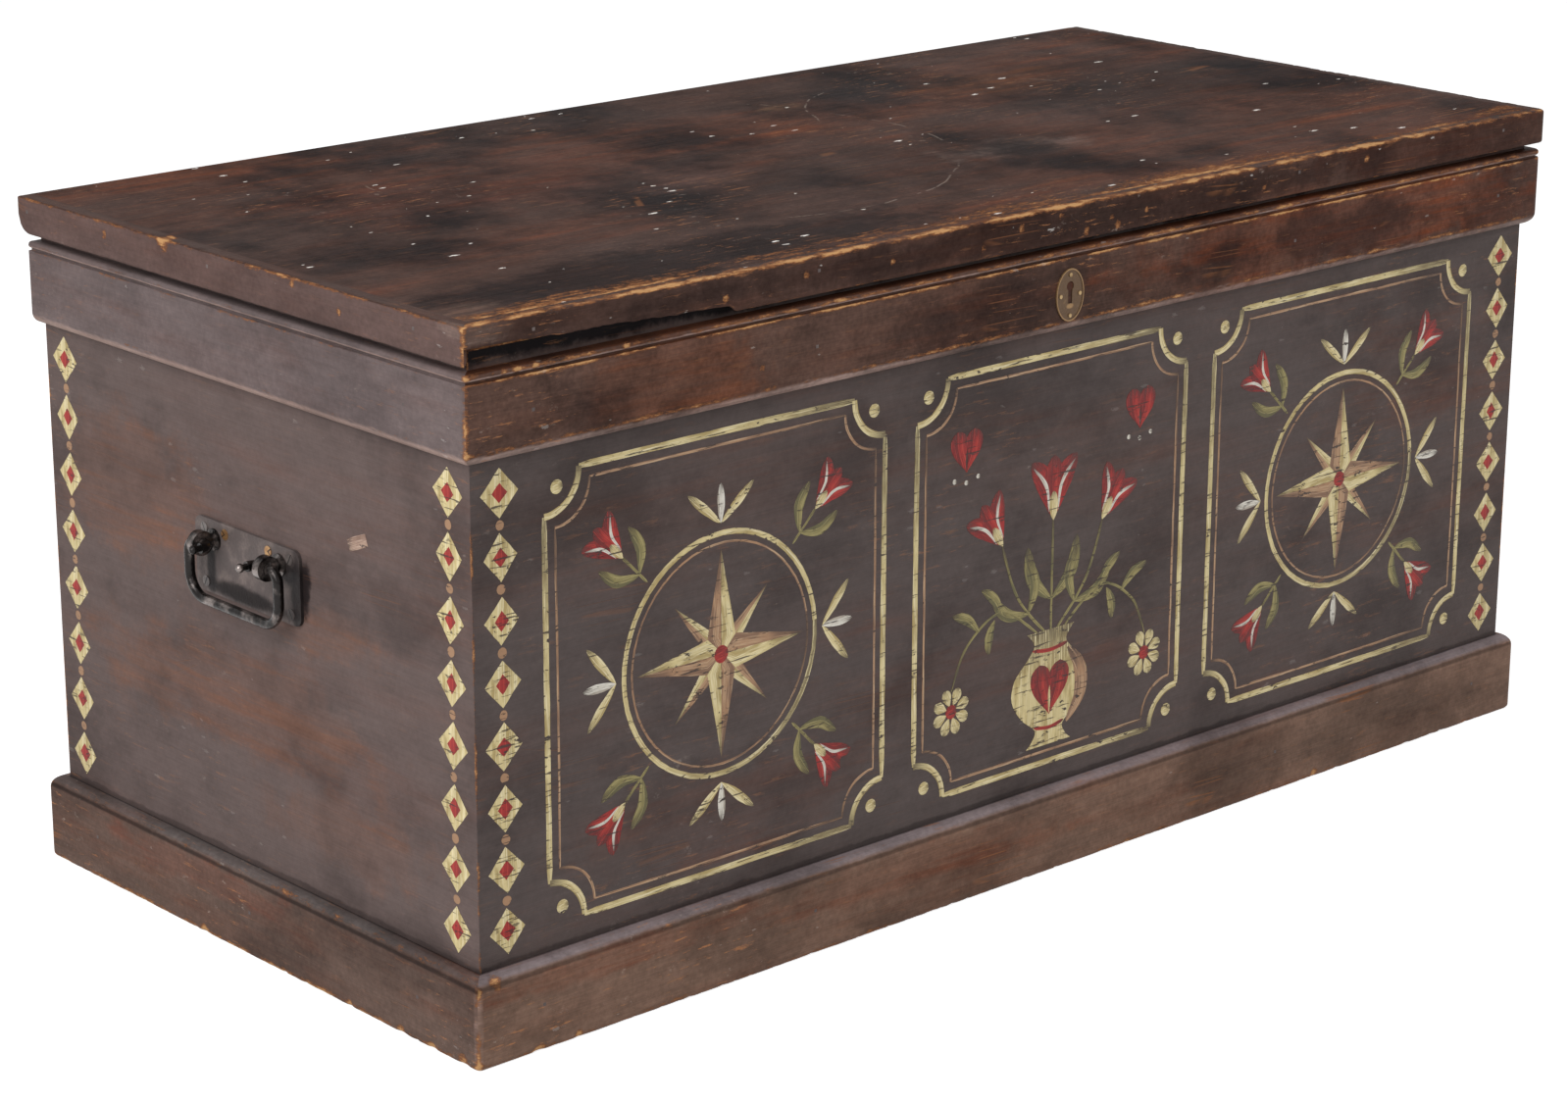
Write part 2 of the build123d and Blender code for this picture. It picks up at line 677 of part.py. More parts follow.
for end, end_name in ((-1, "left"), (1, "right")):
    with BuildPart() as batten:
        with BuildSketch(Plane.YZ.offset(end * BATTEN_X)):
            with BuildLine():
                Polyline(
                    (-BATTEN_LENGTH / 2, RIM_Z),
                    (BATTEN_LENGTH / 2, RIM_Z),
                    (BATTEN_LENGTH / 2, RIM_Z - BATTEN_THICK + BATTEN_BEVEL),
                    (BATTEN_LENGTH / 2 - BATTEN_BEVEL, RIM_Z - BATTEN_THICK),
                    (BATTEN_BEVEL - BATTEN_LENGTH / 2, RIM_Z - BATTEN_THICK),
                    (-BATTEN_LENGTH / 2, RIM_Z - BATTEN_THICK + BATTEN_BEVEL),
                    close=True,
                )
            make_face()
        extrude(amount=BATTEN_WIDTH / 2, both=True)
        screws(BATTEN_SCREWS, BATTEN_SCREW_LENGTH)
    write(batten.part, f"lid_batten_{end_name}")

# Hinges: a leaf in the rim, a leaf in the lid and a pin. The knuckles take turns.


def hinge_leaf(hinge_x, up, places):
    """One leaf, let into the lid (up is 1) or the rim (-1), with its share of the knuckles."""
    left = hinge_x - HINGE_LENGTH / 2
    step = HINGE_LENGTH / KNUCKLES
    low, high = sorted((RIM_Z, RIM_Z + up * LEAF_THICK))
    with BuildPart() as leaf:
        block((left, LEAF_INNER_Y, low), (left + HINGE_LENGTH, LEAF_OUTER_Y, high))
        for knuckle in range(1 if up > 0 else 0, KNUCKLES, 2):
            start = left + knuckle * step + (KNUCKLE_GAP / 2 if knuckle else 0)
            stop = left + (knuckle + 1) * step
            stop -= KNUCKLE_GAP / 2 if knuckle < KNUCKLES - 1 else 0
            block((start, LEAF_OUTER_Y, low), (stop, HINGE_Y, high))
            middle = ((start + stop) / 2, HINGE_Y, RIM_Z)
            rod(middle, (1, 0, 0), KNUCKLE_RADIUS, stop - start)
        bore = HINGE_PIN_RADIUS + HINGE_PIN_FIT
        rod((hinge_x, HINGE_Y, RIM_Z), (1, 0, 0), bore, 2 * HINGE_LENGTH, Mode.SUBTRACT)
        screws(places, HINGE_SCREW_LENGTH)
    return leaf.part


for hinge_x, end_name in zip(HINGE_XS, ("left", "right")):
    write(hinge_leaf(hinge_x, -1, RIM_SCREWS), f"{end_name}_hinge_chest_leaf")
    write(hinge_leaf(hinge_x, 1, LID_SCREWS), f"{end_name}_hinge_lid_leaf")
    with BuildPart() as hinge_pin:
        rod((hinge_x, HINGE_Y, RIM_Z), (1, 0, 0), HINGE_PIN_RADIUS, HINGE_LENGTH)
    write(hinge_pin.part, f"{end_name}_hinge_pin")

# Lock: a sheet box with a face plate and a top strip, a sliding bolt with two fingers, and
# a plate under the lid whose two loops hang down through the strip

with BuildPart() as lock_case:
    lock_blocks(Mode.ADD)
    inner = LOCK_CASE[0] / 2 - LOCK_SHEET
    cavity_low = (-inner, LOCK_CASE_Y + LOCK_SHEET, LOCK_CASE_FOOT_Z + LOCK_SHEET)
    cavity_high = (inner, LOCK_Y - LOCK_PLATE[1], RIM_Z - LOCK_PLATE[1])
    block(cavity_low, cavity_high, Mode.SUBTRACT)
    keyhole(LOCK_CASE_Y, LOCK_CASE_Y + LOCK_SHEET)
    for stump_x in LOCK_STUMP_XS:
        depth = cavity_high[1] - cavity_low[1]
        middle_y = (cavity_high[1] + cavity_low[1]) / 2
        rod((stump_x, middle_y, LOCK_STUMP_Z), (0, 1, 0), LOCK_STUMP_RADIUS, depth)
    key_pin_low = LOCK_CASE_Y - KEY_PIN_REACH
    key_pin_middle = (key_pin_low + cavity_high[1]) / 2
    key_pin_length = cavity_high[1] - key_pin_low
    rod((0, key_pin_middle, KEYHOLE_Z), (0, 1, 0), KEY_PIN_RADIUS, key_pin_length)
    for loop_x in (-LOOP_X, LOOP_X):
        slot_x = LOOP_THICK / 2 + LOOP_CLEARANCE
        block(
            (loop_x - slot_x, LOOP_Y - LOOP_WIDTH / 2 - LOOP_CLEARANCE, cavity_high[2]),
            (loop_x + slot_x, LOOP_Y + LOOP_WIDTH / 2 + LOOP_CLEARANCE / 2, RIM_Z),
            Mode.SUBTRACT,
        )
    screws(LOCK_SCREWS, LOCK_SCREW_LENGTH, SMALL_SCREW_HEAD, SMALL_SCREW_SHANK)
write(lock_case.part, "lock_case")

with BuildPart() as lock_bolt:
    with BuildSketch(Plane.XZ.offset(-LOOP_Y)):
        for low, high in BOLT_BARS:
            middle = ((low[0] + high[0]) / 2, (low[1] + high[1]) / 2)
            with Locations(middle):
                Rectangle(high[0] - low[0], high[1] - low[1])
        with Locations((0, BOLT_NOTCH[1] / 2 + BOLT_BARS[0][0][1])):
            Rectangle(*BOLT_NOTCH, mode=Mode.SUBTRACT)
        for stump_x in LOCK_STUMP_XS:
            with Locations((stump_x - BOLT_TRAVEL / 2, LOCK_STUMP_Z)):
                SlotCenterToCenter(BOLT_TRAVEL, 2 * BOLT_SLOT_RADIUS, mode=Mode.SUBTRACT)
    extrude(amount=BOLT_THICK / 2, both=True)
write(lock_bolt.part, "lock_bolt")

with BuildPart() as lid_link:
    link_plate(Mode.ADD)
    for loop_x in (-LOOP_X, LOOP_X):
        near_x, far_x = loop_x - LOOP_THICK / 2, loop_x + LOOP_THICK / 2
        block(
            (near_x, LOOP_Y - LOOP_WIDTH / 2, RIM_Z - LOOP_DROP),
            (far_x, LOOP_Y + LOOP_WIDTH / 2, RIM_Z),
        )
        block(
            (near_x, LOOP_Y - LOOP_HOLE[0] / 2, LOOP_HOLE_FOOT_Z),
            (far_x, LOOP_Y + LOOP_HOLE[0] / 2, LOOP_HOLE_FOOT_Z + LOOP_HOLE[1]),
            Mode.SUBTRACT,
        )
    screws(LINK_SCREWS, LINK_SCREW_LENGTH, SMALL_SCREW_HEAD, SMALL_SCREW_SHANK)
write(lid_link.part, "lid_link")

# Drop handles: a plate, two eyes riveted through it and a bail hung between them. Distances
# out from the end are positive.


def end_plane(side, out=0.0):
    """The plane of an end's outer face, or of one further out. X runs along the depth."""
    origin = (side * (HALF_X + out), 0, 0)
    return Plane(origin=origin, x_dir=(0, side, 0), z_dir=(side, 0, 0))


def eye_point(side, out, y):
    """A point at the height of a handle's eyes."""
    return (side * (HALF_X + out), y, EYE_Z)


def handle_plate(side):
    """A plate with round corners and holes for its screws and for the rivets of its eyes."""
    with BuildPart() as plate:
        with BuildSketch(end_plane(side)):
            with Locations((0, PLATE_Z)):
                RectangleRounded(*PLATE, PLATE_CORNER)
        extrude(amount=PLATE_THICK)
        for y in (-EYE_Y, EYE_Y):
            rod(eye_point(side, 0, y), (side, 0, 0), EYE_RIVET, 4 * PLATE_THICK, Mode.SUBTRACT)
        screws(handle_screws(side, CORNER_SPOTS + SPARE_SPOTS), HANDLE_SCREW_LENGTH)
    return plate.part


def handle_eye(side, y):
    """A ring on a short shank, with a flange on the plate and a rivet through it."""
    out = (side, 0, 0)
    flange_middle = PLATE_THICK + EYE_FLANGE_THICK / 2
    shank_middle = (PLATE_THICK + EYE_OUT) / 2
    with BuildPart() as eye:
        rod(eye_point(side, PLATE_THICK / 2, y), out, EYE_RIVET, PLATE_THICK)
        rod(eye_point(side, flange_middle, y), out, EYE_FLANGE, EYE_FLANGE_THICK)
        rod(eye_point(side, shank_middle, y), out, EYE_SHANK, EYE_STANDOFF)
        rod(eye_point(side, EYE_OUT, y), (0, 1, 0), EYE_RADIUS, EYE_THICK)
        rod(eye_point(side, EYE_OUT, y), (0, 1, 0), EYE_HOLE, 4 * EYE_THICK, Mode.SUBTRACT)
    return eye.part


for end, end_name in ((-1, "left"), (1, "right")):
    write(handle_plate(end), f"{end_name}_handle_plate")
    write(handle_eye(end, -EYE_Y), f"{end_name}_handle_front_eye")
    write(handle_eye(end, EYE_Y), f"{end_name}_handle_back_eye")

# A bail is a bent rod that hangs from two eyes, with a ball on each of its turned-out ends.
# The left one is the right one turned about.

axis_x = HALF_X + EYE_OUT
bail_points = [
    (axis_x + FINIAL_REACH, FINIAL_Y, EYE_Z),
    (axis_x, FINIAL_Y, EYE_Z),
    (axis_x, BAIL_HALF_WIDTH, EYE_Z),
    (axis_x, BAIL_HALF_WIDTH, EYE_Z - BAIL_DROP),
]
bail_rounds = [FINIAL_ROUND, BAIL_SHOULDER_ROUND, BAIL_BOTTOM_ROUND]

with BuildPart() as right_bail:
    with BuildLine():
        path = FilletPolyline(
            *bail_points,
            *[(x, -y, z) for x, y, z in reversed(bail_points)],
            radius=[*bail_rounds, *reversed(bail_rounds)],
        )
    with BuildSketch(Plane(origin=path @ 0, z_dir=path % 0)):
        Circle(ROD_RADIUS)
    sweep()
    for y in (-FINIAL_Y, FINIAL_Y):
        neck_middle = EYE_OUT + (FINIAL_REACH + FINIAL_BALL_REACH) / 2
        neck_length = FINIAL_BALL_REACH - FINIAL_REACH
        rod(eye_point(1, neck_middle, y), (1, 0, 0), FINIAL_NECK, neck_length)
        with Locations(eye_point(1, EYE_OUT + FINIAL_BALL_REACH, y)):
            Sphere(FINIAL_BALL)
write(right_bail.part, "right_bail")

with BuildPart() as left_bail:
    add(right_bail.part, rotation=(0, 0, 180))
write(left_bail.part, "left_bail")

# Fasteners, one group for each size and place of use


def screw_group(places, length, head=SCREW_HEAD, shank=SCREW_SHANK, proud=0.0):
    with BuildPart() as group:
        screws(places, length, head, shank, proud, Mode.ADD)
    return group.part


def nail_group(places, length=NAIL_LENGTH):
    with BuildPart() as group:
        nails(places, length, Mode.ADD)
    return group.part


for end, end_name in ((-1, "left"), (1, "right")):
    for spots, metal in ((CORNER_SPOTS, "steel"), (SPARE_SPOTS, "brass")):
        group = screw_group(
            handle_screws(end, spots), HANDLE_SCREW_LENGTH, proud=HANDLE_SCREW_PROUD
        )
        write(group, f"{end_name}_handle_{metal}_screws")

write(screw_group(RIM_SCREWS, HINGE_SCREW_LENGTH), "hinge_chest_screws")
write(screw_group(LID_SCREWS, HINGE_SCREW_LENGTH), "hinge_lid_screws")
write(screw_group(BATTEN_SCREWS, BATTEN_SCREW_LENGTH), "batten_screws")
SMALL = (SMALL_SCREW_HEAD, SMALL_SCREW_SHANK)
write(screw_group(LOCK_SCREWS, LOCK_SCREW_LENGTH, *SMALL), "lock_screws")
write(screw_group(LINK_SCREWS, LINK_SCREW_LENGTH, *SMALL), "link_screws")

for rows, name in ((PLINTH_NAILS, "plinth"), (BAND_NAILS, "band"), (LIP_NAILS, "lid_lip")):
    write(nail_group([place for row in rows.values() for place in row]), f"{name}_nails")
write(
    nail_group(BOTTOM_NAILS["front"] + BOTTOM_NAILS["back"], BOTTOM_NAIL_LENGTH), "bottom_nails"
)
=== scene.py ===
# %% [markdown]
# # A painted pine blanket chest, well worn
#
# The chest is a dovetailed pine box with a lipped lid, a beaded band under the lid and a
# moulded plinth. It was painted dark brown long ago, and a folk design was painted over that
# in cream, tan and crimson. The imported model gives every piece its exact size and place, in
# metres, with X along the front, Y to the back and Z up. This file gives it its looks.

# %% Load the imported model
import math
import random

import bmesh
import bpy
from mathutils import Matrix, Vector, noise


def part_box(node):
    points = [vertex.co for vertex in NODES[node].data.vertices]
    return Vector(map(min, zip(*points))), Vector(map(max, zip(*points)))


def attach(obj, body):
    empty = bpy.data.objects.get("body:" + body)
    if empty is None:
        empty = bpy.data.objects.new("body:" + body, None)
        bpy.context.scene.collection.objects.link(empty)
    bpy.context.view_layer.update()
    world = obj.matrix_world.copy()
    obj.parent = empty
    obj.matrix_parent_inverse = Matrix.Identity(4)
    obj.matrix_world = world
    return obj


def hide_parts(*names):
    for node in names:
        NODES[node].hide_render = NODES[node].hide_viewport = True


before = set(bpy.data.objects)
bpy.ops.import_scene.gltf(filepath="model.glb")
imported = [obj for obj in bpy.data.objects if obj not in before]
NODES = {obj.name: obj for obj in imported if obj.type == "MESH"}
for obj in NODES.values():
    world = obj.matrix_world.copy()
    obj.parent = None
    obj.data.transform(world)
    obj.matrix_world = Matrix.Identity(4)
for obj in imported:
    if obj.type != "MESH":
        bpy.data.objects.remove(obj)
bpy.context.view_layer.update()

MM = 0.001
print("pieces in the packed model:", len(NODES))

# %% [markdown]
# ## Camera
#
# The photograph was taken with a longish lens from the front left, a little above the lid.
# The camera stands on a line from a target point, at an azimuth and an elevation, so that its
# place can be read as a photographer would say it.

# %% Camera at the photograph's viewing angle
AZIMUTH = math.radians(-42.096)
ELEVATION = math.radians(17.273)
ROLL = math.radians(0.172)
TARGET = Vector((-0.1925, -0.1686, 0.27))
DISTANCE = 2.8708        # metres
LENS = 90.21             # millimetres, on the usual 36 mm sensor


def direction(azimuth, elevation):
    """Which way a point lies from a target, by its azimuth from the front and its elevation."""
    return Vector(
        (
            math.sin(azimuth) * math.cos(elevation),
            -math.cos(azimuth) * math.cos(elevation),
            math.sin(elevation),
        )
    )


def stand(name, data):
    """A new object with this data, put in the scene."""
    made = bpy.data.objects.new(name, data)
    bpy.context.scene.collection.objects.link(made)
    return made


def place_camera():
    """A camera that looks from its azimuth and elevation at the target."""
    back = direction(AZIMUTH, ELEVATION)
    level_right = (-back).cross(Vector((0, 0, 1))).normalized()
    level_up = level_right.cross(-back).normalized()
    right = level_right * math.cos(ROLL) + level_up * math.sin(ROLL)
    up = level_up * math.cos(ROLL) - level_right * math.sin(ROLL)
    camera = stand("camera", bpy.data.cameras.new("camera"))
    camera.data.lens = LENS
    camera.data.sensor_fit = "HORIZONTAL"
    turn = Matrix((right, up, back)).transposed().to_4x4()
    camera.matrix_world = Matrix.Translation(TARGET + back * DISTANCE) @ turn
    bpy.context.scene.camera = camera
    return camera


camera = place_camera()
print("camera stands at", [round(v, 3) for v in camera.matrix_world.translation])

# %% [markdown]
# ## Short words for shader trees
#
# A material here is a small calculation: a few clouds of noise, stretched along the grain,
# that mix one colour into another. Each helper adds one kind of node and hands back its
# socket, so that a finish reads as a few lines of arithmetic.


# %% Helpers for shader trees
def colour(red, green, blue):
    """A colour as a screen shows it, 0 to 255, in the linear values that shaders use."""
    return (*[pow((v / 255 + 0.055) / 1.055, 2.4) for v in (red, green, blue)], 1.0)


def put(tree, kind, inputs=None, **settings):
    """Add a node. Its inputs are numbers, or sockets of other nodes."""
    made = tree.nodes.new(kind)
    for name, value in settings.items():
        setattr(made, name, value)
    for key, value in (inputs or {}).items():
        if isinstance(value, bpy.types.NodeSocket):
            tree.links.new(value, made.inputs[key])
        else:
            made.inputs[key].default_value = value
    return made


def calc(tree, operation, first, second=0.0):
    """Arithmetic on one or two values."""
    return put(tree, "ShaderNodeMath", {0: first, 1: second}, operation=operation).outputs[0]


def times(tree, first, second):
    """Two values multiplied."""
    return calc(tree, "MULTIPLY", first, second)


def plus(tree, first, second):
    """Two values added."""
    return calc(tree, "ADD", first, second)


def minus(tree, first, second):
    """The second value taken from the first."""
    return calc(tree, "SUBTRACT", first, second)


def larger(tree, first, second):
    """The larger of two values."""
    return calc(tree, "MAXIMUM", first, second)


def size_of(tree, value):
    """A value without its sign."""
    return calc(tree, "ABSOLUTE", value)


def split(tree, vector):
    """The three parts of a vector."""
    return put(tree, "ShaderNodeSeparateXYZ", {0: vector}).outputs


def join(tree, x=0.0, y=0.0, z=0.0):
    """A vector of three parts."""
    return put(tree, "ShaderNodeCombineXYZ", {0: x, 1: y, 2: z}).outputs[0]


def length_of(tree, vector):
    """How long a vector is."""
    return put(tree, "ShaderNodeVectorMath", {0: vector}, operation="LENGTH").outputs["Value"]


def stretched(tree, where, factors, shift=(0.0, 0.0, 0.0)):
    """Coordinates scaled by a factor each way, then shifted."""
    inputs = {0: where, 1: factors, 2: shift}
    return put(tree, "ShaderNodeVectorMath", inputs, operation="MULTIPLY_ADD").outputs[0]


def cloud(tree, where, factors, detail=3.0, rough=0.55, shift=(0.0, 0.0, 0.0)):
    """Soft noise of so many clouds to the metre each way, around 0.5."""
    inputs = {
        "Vector": stretched(tree, where, factors, shift),
        "Scale": 1.0,
        "Detail": detail,
        "Roughness": rough,
    }
    return put(tree, "ShaderNodeTexNoise", inputs).outputs[0]


def fade(tree, value, start, stop):
    """0 below the start and 1 past the stop, smooth between. They may be in either order."""
    low, high, ends = (start, stop, (0.0, 1.0)) if start < stop else (stop, start, (1.0, 0.0))
    inputs = {0: value, 1: low, 2: high, 3: ends[0], 4: ends[1]}
    kind = "ShaderNodeMapRange"
    return put(tree, kind, inputs, interpolation_type="SMOOTHSTEP").outputs[0]


def tint(tree, amount, under, over):
    """One colour laid over another, as thickly as the amount says."""
    inputs = {0: amount, 6: under, 7: over}
    return put(tree, "ShaderNodeMix", inputs, data_type="RGBA").outputs[2]


def shade(tree, paint, value):
    """A colour made lighter or darker by a value around 1."""
    inputs = {0: paint, "Scale": value}
    return put(tree, "ShaderNodeVectorMath", inputs, operation="SCALE").outputs[0]


def between(tree, value, low, high):
    """A value from 0 to 1 spread between two others."""
    return put(tree, "ShaderNodeMapRange", {0: value, 3: low, 4: high}).outputs[0]


def new_finish(name, specular=0.5):
    """An empty material, its tree and its shader."""
    material = bpy.data.materials.new(name)
    material.use_nodes = True
    shader = material.node_tree.nodes["Principled BSDF"]
    shader.inputs["Specular IOR Level"].default_value = specular
    return material, material.node_tree, shader


def lay(tree, shader, paint, roughness, height, relief):
    """Give a shader its colour, its roughness and a relief of so many metres."""
    tree.links.new(paint, shader.inputs["Base Color"])
    tree.links.new(roughness, shader.inputs["Roughness"])
    bump = put(tree, "ShaderNodeBump", {"Height": height, "Distance": relief})
    tree.links.new(bump.outputs[0], shader.inputs["Normal"])


def place_of(tree):
    """Where a point lies on the chest, in metres."""
    return put(tree, "ShaderNodeTexCoord").outputs["Object"]


def facing_of(tree):
    """Which way a surface looks, as three parts from -1 to 1."""
    return split(tree, put(tree, "ShaderNodeTexCoord").outputs["Normal"])


# %% [markdown]
# ## Floor and light
#
# The photograph has a plain white ground and soft light. A large lamp stands at the left and
# a weaker one at the front right, with a broad one above. The floor is pale, and what the
# camera sees of it is lifted to white, while it keeps the shadow of the chest.

# %% Floor
FLOOR_REACH = 30.0
FLOOR_ALBEDO = 0.75
FLOOR_LIFT = 0.68        # light added to what the camera sees of the floor


def seen_directly(tree):
    """1 for what the camera sees, directly or in a shiny or clear surface."""
    path = put(tree, "ShaderNodeLightPath")
    seen = larger(tree, path.outputs["Is Camera Ray"], path.outputs["Is Glossy Ray"])
    return larger(tree, seen, path.outputs["Is Transmission Ray"])


def lay_floor():
    """A flat floor under the chest, lifted to white where it is seen."""
    mesh = bpy.data.meshes.new("floor")
    corners = [(-1, -1), (1, -1), (1, 1), (-1, 1)]
    mesh.from_pydata([(x * FLOOR_REACH, y * FLOOR_REACH, 0) for x, y in corners], [], [range(4)])
    floor = stand("floor", mesh)
    material, tree, shader = new_finish("pale_floor", 0.0)
    shader.inputs["Base Color"].default_value = (FLOOR_ALBEDO,) * 3 + (1.0,)
    shader.inputs["Roughness"].default_value = 0.9
    shader.inputs["Emission Color"].default_value = (1, 1, 1, 1)
    lift = times(tree, seen_directly(tree), FLOOR_LIFT)
    tree.links.new(lift, shader.inputs["Emission Strength"])
    mesh.materials.append(material)


lay_floor()

# %% World and lamps
WORLD_STRENGTH = 0.36
LAMP_TARGET = Vector((0, 0, 0.25))
LAMPS = {
    # name: azimuth and elevation in degrees, distance and width in metres, watts
    "left_lamp": (-78, 32, 3.4, 2.2, 80),
    "front_lamp": (28, 30, 3.6, 2.2, 42),
    "top_lamp": (-20, 82, 3.0, 2.4, 18),
}


def light_world():
    """White for what the camera sees, and a plain even light for the rest."""
    world = bpy.data.worlds.new("studio")
    world.use_nodes = True
    bpy.context.scene.world = world
    tree = world.node_tree
    ground = tree.nodes["Background"]
    ground.inputs["Color"].default_value = (1, 1, 1, 1)
    strength = between(tree, seen_directly(tree), WORLD_STRENGTH, 1.0)
    tree.links.new(strength, ground.inputs["Strength"])


def hang_lamp(name, azimuth, elevation, distance, width, watts):
    """A square lamp that faces the middle of the chest."""
    data = bpy.data.lights.new(name, "AREA")
    data.size = width
    data.energy = watts
    lamp = stand(name, data)
    back = direction(math.radians(azimuth), math.radians(elevation))
    lamp.location = LAMP_TARGET + back * distance
    lamp.rotation_euler = (-back).to_track_quat("-Z", "Y").to_euler()


light_world()
for name, settings in LAMPS.items():
    hang_lamp(name, *settings)
bpy.context.scene.view_settings.view_transform = "Standard"
print("lamps:", ", ".join(LAMPS))

# %% [markdown]
# ## Old brown paint
#
# The paint is a thin dark coat on pine. Years of rubbing have left it patchy: near black in
# places, red brown in others, with the grain showing as fine streaks. Edges have worn down to
# orange wood. All of it is noise stretched along the grain, so the first thing a board needs
# is coordinates that run with the grain on whichever face is looked at.


# %% Coordinates along the grain of a board
ALONG_AXIS = 0.7         # a face looks along an axis where that part of its normal is larger


def grain_of_board(tree):
    """Along the grain, across it, and depth, for a flat board painted on its outer face."""
    place, facing = place_of(tree), facing_of(tree)
    x, y, z = split(tree, place)
    on_end = calc(tree, "GREATER_THAN", size_of(tree, facing[0]), ALONG_AXIS)
    on_top = calc(tree, "GREATER_THAN", size_of(tree, facing[2]), ALONG_AXIS)
    front, end = join(tree, x, z, y), join(tree, y, z, x)
    sides = put(tree, "ShaderNodeMix", {0: on_end, 4: front, 5: end}, data_type="VECTOR")
    inputs = {0: on_top, 4: sides.outputs[1], 5: place}
    return put(tree, "ShaderNodeMix", inputs, data_type="VECTOR").outputs[1]


def grain_of_cross_board(tree):
    """The same for a board that runs from front to back."""
    x, y, z = split(tree, place_of(tree))
    return join(tree, y, plus(tree, x, z), z)


def grain_of_moulding(tree):
    """The same for a moulding, whose mesh carries its own."""
    return put(tree, "ShaderNodeAttribute", attribute_name="grain").outputs["Vector"]


# %% [markdown]
# The marks on old paint come from different things. A patch is where one spot was rubbed or
# scorched for years, but a few black patches are painted shade or a painted shadow instead.
# Hairline scratches come from things slid over the chest, a curved one from a pot turned on
# the lid, and the pale specks are dust and dried splashes.


# %% Patches, scratches and specks
def patch(tree, place, centre, half, ragged=0.5):
    """A ragged oval patch, by its centre and half sizes in millimetres: 1 inside, 0 outside."""
    factors = [1000.0 / v for v in half]
    shift = [-c / v for c, v in zip(centre, half)]
    away = stretched(tree, place, factors, shift)
    far = length_of(tree, away)
    edge = minus(tree, cloud(tree, place, (28, 28, 28), 5.0, 0.65), 0.5)
    far = plus(tree, far, times(tree, edge, 4 * ragged))
    return fade(tree, far, 1.1, 0.55)


def scratches(tree, grain, turn, factors, thin, share, shift):
    """Hairline scratches: the edges of long cells, kept only here and there."""
    inputs = {"Vector": grain, "Rotation": (0.0, 0.0, math.radians(turn))}
    turned = put(tree, "ShaderNodeMapping", inputs).outputs[0]
    cells = put(
        tree,
        "ShaderNodeTexVoronoi",
        {"Vector": stretched(tree, turned, factors, shift), "Scale": 1.0},
        feature="DISTANCE_TO_EDGE",
    )
    line = fade(tree, cells.outputs["Distance"], thin, thin * 0.3)
    kept = fade(tree, cloud(tree, grain, (9, 14, 3), 3.0, 0.6, shift), 1 - share, 1.06 - share)
    return times(tree, line, kept)


def specks(tree, grain, count, size, share):
    """Small round specks, a share of so many to the metre each way."""
    flat = {"Vector": grain, "Scale": count}
    cells = put(tree, "ShaderNodeTexVoronoi", flat, voronoi_dimensions="2D").outputs
    chosen = split(tree, cells["Color"])
    radius = times(tree, times(tree, chosen[1], chosen[1]), size * count)
    crumb = between(tree, cloud(tree, grain, (620, 900, 2), 2.0, 0.7), -1.2, 3.2)
    radius = times(tree, radius, crumb)
    dot = calc(tree, "LESS_THAN", cells["Distance"], radius)
    return times(tree, dot, calc(tree, "LESS_THAN", chosen[0], share))


def arc(tree, place, centre, radius):
    """Part of a curved scratch on the top, by its centre and radius in millimetres."""
    away = stretched(tree, place, (1.0, 1.0, 0.0), (-centre[0] * MM, -centre[1] * MM, 0.0))
    far = length_of(tree, away)
    sway = times(tree, cloud(tree, place, (14, 14, 14), 2.0), 14 * MM)
    off = size_of(tree, minus(tree, plus(tree, far, sway), radius * MM))
    shift = (*centre, 0.0)
    broken = fade(tree, cloud(tree, place, (70, 70, 70), 4.0, 0.7, shift), 0.46, 0.56)
    reach = fade(tree, cloud(tree, place, (7, 7, 7), 2.0, 0.5, shift), 0.50, 0.60)
    return times(tree, fade(tree, off, 1.1 * MM, 0.3 * MM), times(tree, broken, reach))


# %% [markdown]
# The paint is built up in the order in which it aged: the brown coat, its red and black
# patches, the grain that shows through, then scratches, scuffs, edges worn to the wood, and
# the dust on top of all. What is scratched or worn lies a little lower than the coat.

# %% The paint itself
# Near black: smoke black and dirt, and also painted shade in recesses and creases, and painted
# shadow on and by the handle plates
BLACK_DIRT_AND_SHADE = colour(20, 16, 17)
LID_BROWN = colour(66, 50, 45)
CARCASE_BROWN = colour(84, 75, 73)
# A lighter copy of the carcase brown, for the ends: painted light, for the sheen the left end
# catches
END_SHEEN_BROWN = colour(96, 83, 80)
RED_BROWN = colour(104, 58, 38)
RUST_BROWN = colour(124, 84, 64)
RUBBED_BROWN = colour(138, 90, 58)
FLECK_BROWN = colour(164, 112, 76)
GOLDEN_WOOD = colour(192, 148, 100)
DUST = colour(190, 174, 162)
PALE_DUST = colour(236, 230, 224)


def patched(tree, grain, place, base, red, black, marks):
    """The brown coat with its red and black patches and its single marks. The red and the
    marks follow the brush, and the black of dirt and smoke doesn't, nor the painted shade."""
    broad = cloud(tree, grain, (2.2, 11.0, 1.0), 6.0, 0.62)
    blotch = cloud(tree, place, (6.0, 6.0, 9.0), 6.0, 0.64, (3.1, 1.7, 5.2))
    brushed = fade(tree, cloud(tree, grain, (5.0, 62.0, 1.0), 7.0, 0.72, (5, 5, 5)), 0.46, 0.66)
    brushed = between(tree, brushed, 0.30, 1.0)
    reddened = times(tree, fade(tree, broad, 0.42, 0.66), red)
    paint = tint(tree, times(tree, reddened, brushed), base, RED_BROWN)
    for centre, half, mark, amount in marks:
        spot = times(tree, patch(tree, place, centre, half), amount)
        if mark is not BLACK_DIRT_AND_SHADE:
            spot = times(tree, spot, brushed)
        paint = tint(tree, spot, paint, mark)
    return tint(tree, times(tree, fade(tree, blotch, 0.44, 0.66), black), paint, BLACK_DIRT_AND_SHADE)


